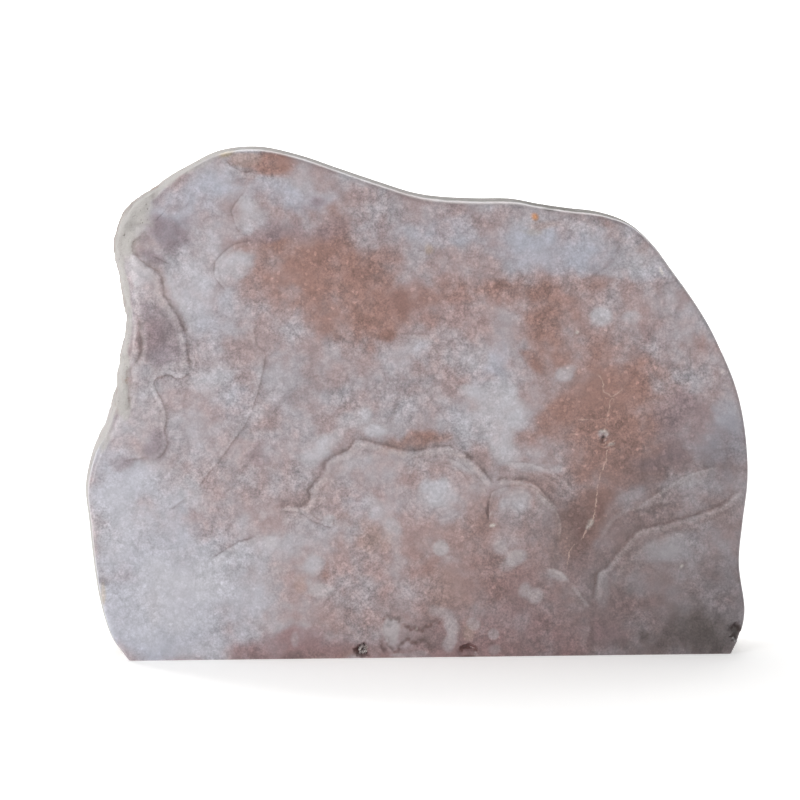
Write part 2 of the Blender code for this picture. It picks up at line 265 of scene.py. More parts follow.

# Where each colour lies on the quartz: mostly stains and fills, with some painted highlights, glints and
# shade, marked where they stand.
COLOUR_OVALS = {
    Mineral.HAZE: ovals(
        (-3.3, 20.3, 47.2, 26.5, 0.8, 0.5), (41.4, 28.8, 35.4, 32.4, 0.8, 0.5),
        (-3.4, 106.2, 47.2, 26.5, 0.9, 0.45), (53.1, 82.4, 32.4, 35.4, 0.8, 0.5),
        (74.4, 28.5, 26.5, 32.4, 0.9, 0.25), (-48.7, 143.6, 14.8, 7.4, 0.8, 0.25),
        (-82.5, 97.6, 7.1, 10, 0.8, 0.4), (-53.5, 59.3, 17.7, 14.8, 0.9, 0.3),
        (-6.3, 53, 17.7, 11.8, 0.9, 0.3), (-85.2, 128.2, 7.1, 10, 0.8, 0.4),
    ),
    Mineral.DUSK: ovals(
        (89.7, 4.3, 61.9, 47.2, 0.9, 0.55), (70.6, 57.9, 10.6, 8.8, 0.8, 0.4),
        (-10.7, 80.3, 12.4, 4.1, 0.7, 0.25), (90.1, 19.9, 7.1, 9.4, 0.7, 0.35),
        (40.7, 38.4, 6.5, 8.3, 0.7, 0.4), (65.3, 44.2, 13, 7.1, 0.8, 0.25),
        (89.8, 61.9, 5.9, 10, 0.8, 0.4), (-26.9, 97.4, 56, 44.2, 0.9, 0.14),
        (-6.3, 129.7, 32.4, 20.6, 0.9, 0.16), (93.7, 67.3, 11.8, 32.4, 0.9, 0.2),
        (56.4, 28.7, 14.8, 14.8, 0.9, 0.25), (41.5, 1.8, 70.8, 23.6, 0.9, 0.35),
        (53.2, 55.6, 44.2, 38.4, 0.9, 0.16), (-72.4, 126.8, 5.9, 6.5, 0.6, 0.25),
        (-35.8, 82.8, 10, 8.8, 0.9, 0.22),
    ),
    Mineral.RUST: ovals(
        (-30.4, 116.2, 18.3, 13.6, 0.7, 1), (-17.5, 106.2, 13.6, 8.8, 0.7, 0.9, -12),
        (-36.6, 109.2, 7.7, 6.5, 0.6, 0.85), (2.5, 106.2, 6.5, 2.9, 0.7, 0.5),
        (71.2, 59.1, 7.7, 5.9, 0.7, 0.5), (-14.6, 97.4, 5.9, 5.9, 0.7, 0.75),
        (-26.9, 100.4, 7.7, 4.1, 0.6, 0.55), (-48.5, 123.2, 7.1, 3.5, 0.6, 0.45, 10),
        (-43.2, 145.1, 6.5, 3.5, 0.6, 1, -8), (-52.2, 141.3, 4.1, 2.4, 0.6, 0.6),
        (7.8, 108.2, 13, 3.5, 0.6, 0.65, 4), (-5.1, 104.4, 3.5, 5.3, 0.5, 0.7),
        (3.1, 99.7, 5.9, 2.9, 0.7, 0.4), (32.1, 106.1, 12.4, 5.3, 0.8, 0.75, -10),
        (37.5, 97.2, 9.4, 7.7, 0.5, 0.6), (37.6, 87.8, 5.9, 7.7, 0.5, 0.7, -25),
        (50.5, 110.8, 8.8, 3.5, 0.6, 0.65, 28), (54, 72, 14.2, 18.9, 0.65, 1),
        (42.1, 67.6, 10.6, 7.1, 0.5, 0.95, -4), (65.1, 76.4, 13.3, 23.6, 0.7, 0.5, 8),
        (72.6, 64.4, 11.8, 14.8, 0.7, 0.35), (53.2, 52.6, 8.8, 7.1, 0.6, 0.8),
        (47.3, 40.1, 6.5, 9.4, 0.5, 0.95, -12), (39.9, 34.8, 7.1, 5.3, 0.7, 0.4),
        (-0.4, 64.8, 10, 2.9, 0.6, 0.85, 18), (-4.5, 53.9, 3.8, 3.8, 0.6, 0.45),
        (-27.7, 6.8, 11.8, 4.7, 0.7, 0.4, 8), (-47.2, 3.4, 10, 2.7, 0.6, 0.35),
        (-36, 2.1, 8.8, 1.8, 0.5, 0.35), (13.3, 7.5, 3.5, 5.9, 0.6, 0.7),
        (41.4, 12.3, 8.8, 7.7, 0.7, 0.45), (10, 24.6, 20.6, 8.3, 0.7, 0.5, -4),
        (13, 40.4, 11.8, 7.7, 0.8, 0.35), (-22.6, 36.2, 9.4, 4.1, 0.7, 0.4),
        (-34.5, 22.9, 4.1, 2.9, 0.6, 0.3), (-80.5, 96.1, 4.1, 4.1, 0.6, 0.35),
        (83.1, 70.9, 4.7, 6.5, 0.5, 0.35), (65.1, 121.1, 2.1, 2.7, 0.5, 0.6, -30),
        (82.9, 95.6, 2.7, 5.3, 0.6, 0.4, 25), (52.8, 128.5, 5.3, 1.8, 0.5, 0.4, -8),
        (25, 5, 10, 4.7, 0.7, 0.5), (-15.8, 36.2, 3.5, 2.9, 0.8, 0.3),
    ),
    Mineral.UMBER: ovals(
        (-42.5, 2.5, 13, 2.9, 0.7, 0.3), (-22.7, 1.9, 17.7, 2.7, 0.7, 0.5),
        (2.6, 1.3, 32.4, 2.1, 0.7, 0.5), (41.5, 2.4, 20.6, 4.1, 0.8, 0.5),
        (23.2, 20, 3.5, 3.8, 0.6, 0.5), (47.6, 39.5, 5, 9.7, 0.7, 0.75, -10),
        (-10.1, 95.6, 2.9, 1.8, 0.5, 0.7, 10), (-5.4, 104.4, 2.4, 4.1, 0.5, 0.75),
        (-46.7, 143.6, 7.1, 1.8, 0.6, 0.4, -6), (-28.2, 25.9, 1.2, 2.9, 0.5, 0.5),
        (-0.4, 65.4, 5.9, 1.8, 0.5, 0.5, 5), (54.4, 62.7, 2.1, 3.5, 0.5, 0.5),
        (33.6, 105.5, 3.8, 2.9, 0.5, 0.5), (24.1, 110.2, 2.7, 1.8, 0.5, 0.6),
        (32.2, 88.4, 4.4, 2.1, 0.5, 0.75, -50), (-32.4, 25, 4.1, 1.5, 0.6, 0.4),
        (48.6, 76.4, 17.7, 4.1, 0.8, 0.2), (-74.9, 93.8, 5.9, 3.5, 0.6, 0.4),
        (-79.6, 99.9, 2.7, 3.5, 0.6, 0.4), (-82.2, 93.5, 1.5, 2.9, 0.6, 0.5),
    ),
    Mineral.LIVER_AND_SHADE: ovals(
        # In the rows below, the first three ovals make the dark arch under the overhanging top of the pit
        # by the base: partly its red-brown wall, partly painted shade.
        (14.1, 2.9, 2.5, 0.7, 0.2, 0.8), (12, 2, 0.6, 0.8, 0.3, 0.8, 35),
        (16.2, 1.9, 0.6, 0.8, 0.3, 0.8, -35), (14.3, 0.2, 2.7, 0.4, 0.4, 0.7),
        (-19.1, 2.2, 1.2, 1.3, 0.5, 0.6), (55, 61.8, 1, 1.8, 0.5, 0.55),
        (52.4, 44, 1.5, 2.7, 0.6, 0.4, -10), (48.8, 37.7, 1.5, 2.9, 0.6, 0.4, -30),
        (22.6, 17.9, 1.2, 1.2, 0.6, 0.4),
    ),
    Mineral.PEACH: ovals(
        (13.9, 7.2, 2.1, 2.7, 0.5, 0.75), (-51.4, 147.4, 5, 2.4, 0.3, 0.9),
        (-14.6, 36.2, 4.7, 5.3, 0.7, 0.6), (-22.6, 41.3, 4.1, 2.4, 0.8, 0.4),
        (-35.9, 22.4, 2.1, 2.7, 0.5, 0.6), (35.3, 128.5, 4.7, 1.8, 0.7, 0.7),
        (7.4, 20.1, 7.7, 6.5, 0.8, 0.4), (41.3, 34.8, 4.7, 10, 0.7, 0.3),
    ),
    Mineral.MAUVE: ovals(
        (-72.7, 125.9, 5.3, 5.9, 0.55, 0.95), (-77.6, 129.1, 4.4, 3.5, 0.6, 0.95),
        (-81.4, 123.8, 2.7, 1.2, 0.6, 0.5, 50), (-78.6, 118.3, 4.4, 1.8, 0.5, 0.8, -15),
        (-76.7, 96.1, 7.7, 7.7, 0.5, 0.7), (-73.8, 90.5, 6.2, 3.5, 0.5, 0.8),
        (-79.5, 103.4, 3.5, 2.9, 0.6, 0.6), (-77.5, 63.8, 3.8, 5.3, 0.5, 0.85),
        (-89.2, 58.9, 4.1, 2.9, 0.6, 0.9), (-84.1, 25.2, 5.3, 2.4, 0.8, 0.35, 25),
        (-41.5, 126.2, 11.8, 3.5, 0.7, 0.6, 6), (-30.4, 134.9, 2.1, 1.5, 0.5, 0.7),
        (-20.4, 126.1, 14.8, 3.5, 0.8, 0.45), (78.6, 68.9, 9.1, 11.8, 0.5, 0.6),
        (70.6, 57.9, 8.3, 3.5, 0.6, 0.5), (53.5, 4.7, 7.1, 4.7, 0.6, 0.5),
        (-35.6, 134, 6.5, 2.9, 0.8, 0.3), (-47, 62.2, 4.1, 5.3, 0.6, 0.4, -35),
        (-41.1, 77.5, 2.9, 4.7, 0.7, 0.35, -30), (69.4, 95.7, 8.3, 5.9, 0.7, 0.35),
        (-7.8, 47.1, 11.8, 7.7, 0.8, 0.2), (-27, 57.6, 5.3, 2.9, 0.7, 0.3, 40),
    ),
    Mineral.SMOKY: ovals(
        (-82.5, 93.5, 0.9, 2.1, 0.6, 0.5), (38, 132.7, 2.1, 0.5, 0.5, 0.9, -8),
        # The second oval in the row below, and the first in the next row, darken the bottom right of the
        # front.
        (36.5, 133.8, 1.2, 0.4, 0.5, 0.8), (86.6, 6.1, 13, 9.4, 0.7, 0.95),
        (65.5, 3, 10.6, 3.5, 0.8, 0.45), (66.7, 5.7, 1.8, 1.8, 0.5, 0.6),
        (94.5, 6.3, 1.1, 2.7, 0.25, 1, -12), (2.6, 4.6, 5.3, 2.9, 0.6, 0.3),
        (54.4, 65.4, 0.5, 0.7, 0.6, 0.8), (-93.8, 23.8, 2.4, 2.1, 0.6, 0.45),
        (77.9, 47.4, 1.8, 1, 0.5, 0.45), (-41.9, 1.3, 10.6, 1.5, 0.7, 0.4),
        (54.1, 65.1, 0.5, 0.5, 0.5, 0.9),
    ),
    Mineral.MILK_AND_HIGHLIGHT: ovals(
        (-80.3, 74.7, 7.7, 5.3, 0.8, 0.35), (-67.6, 51.1, 7.7, 3.5, 0.7, 0.5, -35),
        (3.2, 77.9, 4.1, 3.5, 0.6, 0.4), (64.2, 19.6, 4.1, 3.5, 0.6, 0.4),
        (-39.5, 8.1, 10.6, 4.1, 0.8, 0.3), (-64, 3, 7.7, 2.4, 0.7, 0.35),
        # In the row below, the second oval is a painted highlight along the lit side of the step by the
        # left ledge.
        (-50.5, 131.7, 3.2, 4.4, 0.9, 0.75), (-70.5, 105.2, 7.7, 0.9, 0.6, 0.8, -66),
        (-85.4, 96.7, 1.8, 4.1, 0.45, 0.53), (-44.7, 34.6, 2.1, 2.1, 0.45, 0.7),
        (-51.3, 147.7, 4.4, 2.1, 0.4, 0.5), (-54.7, 116.8, 5, 3.8, 0.6, 0.7),
        (-66.4, 110.7, 8.8, 11.2, 0.8, 0.55, -15), (-13.4, 67.9, 4.1, 2.1, 0.5, 0.88),
        (-16.4, 72.6, 2.1, 1.8, 0.55, 0.7), (-28.5, 62.7, 8, 2.7, 0.6, 0.75, 45),
        (-20.5, 70.9, 7.1, 2.9, 0.7, 0.5, 25), (14.4, 79, 4.1, 1.8, 0.55, 0.7, -15),
        (23.3, 73.6, 7.1, 5.9, 0.6, 0.85, -20), (24.2, 62.3, 4.7, 5.9, 0.6, 0.8, -20),
        (15.9, 69.2, 5.9, 7.1, 0.7, 0.55), (32.3, 56.9, 10, 1.8, 0.6, 0.6, -8),
        (4.7, 49.1, 5.9, 3.8, 0.55, 0.75, 12), (12.1, 57.1, 4.7, 2.1, 0.6, 0.6, -35),
        (29.4, 46.8, 4.1, 3.8, 0.6, 0.7), (-13.7, 45.7, 4.1, 3.5, 0.6, 0.6),
        (-8.7, 36.7, 3.2, 6.5, 0.7, 0.55, 15), (-27.3, 41.6, 2.1, 1.5, 0.55, 0.62),
        (-32.1, 27.7, 2.7, 2.9, 0.5, 0.45), (-36, 6.3, 1.8, 2.7, 0.5, 0.45),
        (54.3, 19.1, 1.8, 6.5, 0.55, 0.62), (72.6, 31.8, 7.7, 3.5, 0.7, 0.9, 12),
        (80.5, 23.9, 11.8, 7.7, 0.9, 0.45), (65.4, 21.1, 7.1, 4.1, 0.8, 0.3, 30),
        (53.6, 101, 3.2, 2.9, 0.45, 0.7), (62.2, 101, 2.7, 2.1, 0.55, 0.53),
        (64.8, 117.3, 5.9, 5.3, 0.7, 0.45, -40), (-69.8, 23.9, 11.2, 5.9, 0.8, 0.45, 15),
        (-72.8, 12, 4.1, 2.9, 0.6, 0.3), (35.1, 120.2, 9.4, 4.1, 0.7, 0.25),
        (43.2, 84.5, 3.2, 2.7, 0.5, 0.5), (3.4, 89.7, 4.7, 4.7, 0.6, 0.45),
        (16.8, 87.8, 5.3, 3.5, 0.6, 0.35), (-26.1, 89.5, 3.2, 5.3, 0.6, 0.4),
        (76, 90.6, 2.7, 3.8, 0.6, 0.35), (-48.1, 73.4, 2.4, 3.2, 0.55, 0.57),
        (-62.1, 82.9, 7.7, 2.9, 0.6, 0.5, 20), (77.5, 16.4, 10.6, 5.3, 0.8, 0.25),
        (-82.4, 113.7, 4.1, 4.1, 0.6, 0.6), (-56.3, 77, 5.3, 2.9, 0.7, 0.3),
        (-85.7, 47.7, 14.8, 26.5, 0.9, 0.5), (-80.1, 14.5, 16.5, 11.8, 0.9, 0.22),
        (-53.6, 25.2, 20.6, 14.8, 0.9, 0.35), (-18.1, 141.9, 10.6, 2.9, 0.9, 0.5, -10),
        (62.3, 46.6, 8.8, 2.4, 0.7, 0.35, 25), (80.2, 53, 10, 2.1, 0.6, 0.5, 14),
        (-64.9, 120.9, 7.1, 6.5, 0.8, 0.4), (-69.8, 17.9, 17.7, 13, 0.9, 0.42),
        (54.1, 66.6, 1.8, 1.3, 0.55, 0.53),
    ),
    Mineral.OPAL: ovals(
        (-44.7, 34.6, 2.1, 2.2, 0.4, 0.7), (-42.4, 26.9, 2.9, 2.9, 0.8, 0.5),
        (5.9, 32.7, 2.4, 2.5, 0.3, 0.75), (23.7, 32.5, 2.7, 2.4, 0.4, 0.5),
        (28.2, 29.5, 3.5, 2.4, 0.3, 0.65, 25), (25.5, 27.1, 2.7, 1.8, 0.4, 0.4),
        (40.5, 24.3, 3.8, 1.5, 0.4, 0.55, -30), (30.9, 19.6, 2.1, 2.4, 0.4, 0.55),
        (34.2, 17.8, 2.1, 2.7, 0.4, 0.55, -20), (35.6, 46.5, 2.7, 1.2, 0.5, 0.5, -45),
        (-47.1, 42.1, 2.1, 1.2, 0.6, 0.45, 35), (-27.9, 41.6, 2.7, 1.8, 0.5, 0.4, -10),
        (-29.7, 20.5, 4.1, 2.1, 0.4, 0.72, -6), (15.4, 9.9, 2.4, 1.9, 0.35, 0.5, -30),
        (21.7, 6.8, 1.9, 1.8, 0.3, 0.5), (21.7, 2, 2.1, 1.8, 0.5, 0.4),
        (-9, 8.4, 2.7, 4.7, 0.4, 0.75, 10), (-6.3, 11.6, 1.8, 1.8, 0.5, 0.4),
        (9.2, 9.1, 2.1, 3.2, 0.5, 0.65, 8), (8.3, 4.3, 2.1, 2.7, 0.5, 0.6, -12),
        (5.6, 13.9, 3.5, 1.8, 0.6, 0.5, -18), (-6.9, 0.9, 2.9, 0.7, 0.5, 0.5),
        (-1, 1.1, 3.2, 1.2, 0.5, 0.45), (-79.5, 15.7, 4.1, 5.9, 0.7, 0.4),
        (-68.3, 33.4, 7.1, 2.4, 0.7, 0.35, 22), (-27.1, 6.8, 1.8, 1.5, 0.5, 0.4),
        (-37.2, 5.7, 1.5, 2.4, 0.5, 0.45),
    ),
    Mineral.BLUE: ovals(
        (-80.1, 18.1, 16.5, 17.7, 0.6, 0.9), (-61, 20.8, 14.8, 11.8, 0.8, 0.6),
        (-89.2, 53.6, 10, 11.8, 0.7, 0.7), (-74.1, 35.8, 14.8, 14.8, 0.8, 0.6),
        (-67.7, 136.1, 16.5, 7.1, 0.7, 0.65, 28), (-38.6, 135.5, 14.8, 4.4, 0.7, 0.65, -10),
        (-64.9, 110.7, 10.6, 17.7, 0.8, 0.45), (6.9, 126.7, 14.8, 5.3, 0.7, 0.5),
        (38, 120.8, 17.1, 6.5, 0.6, 0.8, -4), (89.8, 64.3, 6.5, 11.8, 0.6, 0.6),
        (-53.4, 76.4, 7.1, 5.9, 0.7, 0.4, -30), (19.5, 70.7, 10.6, 11.8, 0.7, 0.4),
        (-18.2, 44.8, 11.8, 4.7, 0.8, 0.4), (66.3, 113.4, 5.9, 3.5, 0.6, 0.4),
        (1.1, 90, 2.4, 4.4, 0.6, 0.4), (22.4, 87.8, 3.2, 7.1, 0.6, 0.5), (4.1, 50, 4.1, 2.9, 0.6, 0.6),
        (74.4, 32.1, 11.8, 4.1, 0.7, 0.35, 10), (57, 25.1, 2.4, 4.1, 0.6, 0.4),
        (-64, 10.5, 13, 11.2, 0.8, 0.4), (-14, 67.9, 4.1, 2.1, 0.5, 0.5),
        (-80.1, 18.1, 11.8, 11.8, 0.8, 0.5), (41, 120.8, 11.8, 4.7, 0.7, 0.4),
        (-80.1, 12.7, 8.8, 8.8, 0.7, 0.5), (-74.9, 6.1, 8.8, 3.5, 0.7, 0.6),
        (-86.3, 54.2, 4.7, 4.1, 0.7, 0.4),
    ),
    Mineral.OCHRE: ovals(
        (-56.3, 149.4, 2.9, 1.5, 0.5, 0.8, 20), (-93.8, 20, 1, 3.8, 0.6, 0.55),
        (2.2, 120.9, 1.8, 2.1, 0.5, 0.4), (32.7, 126.4, 3.8, 1.5, 0.6, 0.45),
    ),
    Mineral.AMBER: ovals(
        (33.4, 130.8, 1.2, 1.1, 0.8, 0.95),
    ),
    Mineral.ROSE: ovals(
        (-38.9, 4.2, 17.7, 4.4, 0.6, 0.85), (-6.3, 2.3, 20.6, 3.5, 0.7, 0.6),
        (29.5, 4.9, 23.6, 7.7, 0.8, 0.5), (20.5, 17, 38.4, 17.7, 0.9, 0.35),
        (2.5, 106.2, 17.7, 8.8, 0.9, 0.25),
    ),
    Mineral.CHIP_AND_GLINT: ovals(
        # In the row below, both ovals are painted glints on the right rim.
        (71.1, 114.6, 0.5, 1.3, 0.6, 0.8, 25), (89.9, 84.6, 0.6, 0.6, 0.8, 0.6),
        (46.1, 96.3, 0.6, 0.6, 0.4, 0.9), (54.1, 67.2, 1, 0.6, 0.8, 0.7),
        (21.3, 39.4, 0.9, 0.6, 0.7, 0.8), (-16.4, 3.1, 0.6, 0.9, 0.4, 0.8),
        (78, 26.7, 0.5, 0.6, 0.4, 0.7), (55, 66.6, 0.6, 0.6, 0.8, 0.6),
        (50.3, 40.1, 0.9, 1.2, 0.9, 0.7), (49.4, 38.3, 0.6, 0.7, 0.9, 0.6, -20),
        (56.8, 63.6, 0.9, 0.5, 0.6, 0.7, 25), (55.6, 62.4, 0.5, 0.9, 0.7, 0.6),
        (-1.3, 8.6, 0.4, 0.4, 0.6, 0.7),
    ),
}

# Natural rind that runs in from the left side.
RIND_STRIP = ovals(
    (-84, 133.2, 6.5, 10, 0.7, 0.9, -25), (-88.7, 123.9, 4.7, 7.7, 0.6, 0.9),
    (-89.9, 110.8, 2.1, 10.6, 0.6, 0.5), (-88.4, 85.9, 2.7, 14.8, 0.4, 0.95, 5),
    (-76.4, 140.7, 10, 2.7, 0.5, 0.75, 34), (-64.7, 147.1, 8.8, 1.8, 0.5, 0.55, 28),
    (-92.6, 66.9, 1.8, 6.5, 0.5, 0.6, -15),
)

EYES = (
    Eye(4.1, 49.4, 17.0, 1.7, 1.0),
    Eye(29.4, 46.2, 13.0, 1.9, 0.8),
    Eye(77.9, 47.4, 4.0, 1.6, 0.8),
    Eye(13.9, 8.0, 5.5, 1.8, 0.5),
    Eye(-9.0, 8.0, 6.0, 1.5, 0.6),
    Eye(53.6, 101.0, 4.5, 1.5, 0.5),
    Eye(-54.7, 116.8, 5.0, 1.7, 0.3),
)


# ---- small maths

def ease(value: Array | float, low: float, high: float) -> Array:
    """Smooth step from 0 at low to 1 at high."""
    t = np.clip((np.asarray(value, float) - low) / (high - low), 0.0, 1.0)
    return t * t * (3.0 - 2.0 * t)


def smooth_curve(points: Array, per_span: int) -> Array:
    """A Catmull-Rom curve through points.

    Args:
        points: the points to pass through, one row each.
        per_span: how many steps to take between two of them.

    Returns:
        The curve's points, the last one included.
    """
    p = np.vstack([2 * points[0] - points[1], points, 2 * points[-1] - points[-2]])
    t = (np.arange(per_span) / per_span)[None, :, None]
    a, b, c, d = (p[k:len(p) - 3 + k, None, :] for k in range(4))
    fine = 0.5 * (2 * b + (c - a) * t + (2 * a - 5 * b + 4 * c - d) * t ** 2
                  + (3 * b - a - 3 * c + d) * t ** 3)
    return np.vstack([fine.reshape(-1, points.shape[1]), points[-1]])


def along(points: Array) -> Array:
    """Distance along a run of points, from its first."""
    return np.concatenate([[0.0], np.cumsum(np.linalg.norm(np.diff(points, axis=0), axis=1))])


def spaced(points: Array, fractions: Array) -> Array:
    """Points at given fractions of a run's length.

    Args:
        points: the run.
        fractions: how far along it each wanted point is, from 0 to 1.

    Returns:
        The wanted points.
    """
    s = along(points)
    return np.stack([np.interp(fractions * s[-1], s, points[:, k])
                     for k in range(points.shape[1])], axis=1)


def graded(steps: int, start: float, end: float, ratio: float) -> Array:
    """Fractions from 0 to 1 that are closer together over one stretch.

    Args:
        steps: number of steps from 0 to 1.
        start: where the close stretch begins.
        end: where it ends.
        ratio: how many times closer the fractions are there.

    Returns:
        The steps + 1 fractions.
    """
    fine, ramp = 4001, 0.03
    t = np.linspace(0.0, 1.0, fine)
    close = ease(t, start - ramp, start) * (1 - ease(t, end, end + ramp))
    weight = 1.0 + (ratio - 1.0) * close
    total = np.concatenate([[0.0], np.cumsum((weight[1:] + weight[:-1]) / 2)])
    return np.interp(np.linspace(0.0, total[-1], steps + 1), total, t)


def roughness_at(points: Array, size: float, octaves: int = 3) -> Array:
    """Fractal noise from about -1 to 1 at points in mm, for bumps of a size in mm."""
    return np.array([noise.fractal(Vector(p) / size, 0.9, 2.1, octaves) for p in points])


# ---- small Blender helpers

def read_vectors(items: bpy.types.bpy_prop_collection, name: str) -> Array:
    """One vector of each item of a mesh.

    Args:
        items: the mesh's vertices, or another collection of its parts.
        name: which of their vectors.

    Returns:
        A row for each item.
    """
    flat = np.empty(len(items) * 3)
    items.foreach_get(name, flat)
    return flat.reshape(-1, 3)


def placed(name: str, data: bpy.types.ID) -> bpy.types.Object:
    """Put a new object in the scene.

    Args:
        name: the object's name.
        data: the mesh, light or camera that it shows.

    Returns:
        The object.
    """
    made = bpy.data.objects.new(name, data)
    bpy.context.scene.collection.objects.link(made)
    return made


def shaped(name: str, points: list | tuple, faces: list) -> bpy.types.Mesh:
    """Make a mesh.

    Args:
        name: the mesh's name.
        points: its points, in metres.
        faces: the points that each face joins.

    Returns:
        The mesh.
    """
    mesh = bpy.data.meshes.new(name)
    mesh.from_pydata(points, [], faces)
    mesh.update()
    return mesh


def new_finish(name: str) -> tuple[bpy.types.Material, bpy.types.Node]:
    """Make a material.

    Args:
        name: the material's name.

    Returns:
        The material and its shader.
    """
    material = bpy.data.materials.new(name)
    material.use_nodes = True
    return material, material.node_tree.nodes["Principled BSDF"]


# ---- the form

@dataclass(frozen=True)
class FlakeScar:
    """A flake lost from the back: centre, reach and depth in mm, and the turn of its edge."""

    x: float
    z: float
    reach: float
    depth: float
    turn: float

    def share(self, x: Array, z: Array, edge: float) -> Array:
        """1 inside the scar, easing to 0 over its edge.

        Args:
            x, z: places along the slab and heights, in mm.
            edge: width of the ledge round the scar, in mm.

        Returns:
            The share of each point.
        """
        wave = np.sin(3 * np.arctan2(z - self.z, x - self.x) + self.turn)
        reach = self.reach * (1.0 + 0.16 * wave)
        away = np.hypot(x - self.x, z - self.z)
        return 1.0 - ease((away - reach) / edge, -1.0, 0.0)


@dataclass(frozen=True)
class Pit:
    """An open pit in the front: centre, half sizes and depth in mm, turn in degrees.

    ragged is how wavy its edge is, and undercut how much deeper it is under its top edge.
    """

    x: float
    z: float
    half_width: float
    half_height: float
    depth: float
    turn: float
    ragged: float
    undercut: float

    def sink(self, x: Array, z: Array) -> Array:
        """How deep the pit is at points of the front face.

        Args:
            x, z: places along the slab and heights, in mm.

        Returns:
            The depth at each point, in mm.
        """
        a = math.radians(self.turn)
        u = ((x - self.x) * math.cos(a) + (z - self.z) * math.sin(a)) / self.half_width
        v = ((z - self.z) * math.cos(a) - (x - self.x) * math.sin(a)) / self.half_height
        angle = np.arctan2(v, u)
        wave = np.sin(3 * angle + self.x) * 0.6 + np.sin(7 * angle + self.z) * 0.4
        r = np.hypot(u, v) * (1.0 + self.ragged * wave)
        bowl = self.depth * np.sqrt(np.clip(1.0 - r ** 2, 0.0, 1.0))
        return bowl * (1.0 - 0.75 * self.undercut * (1.0 - ease(v, -0.1, 0.8)))


@dataclass(frozen=True)
class Groove:
    """A seam that weathered open: its half width, depth and the drop of its ledge, in mm."""

    seam: str
    half_width: float
    depth: float
    ledge: float


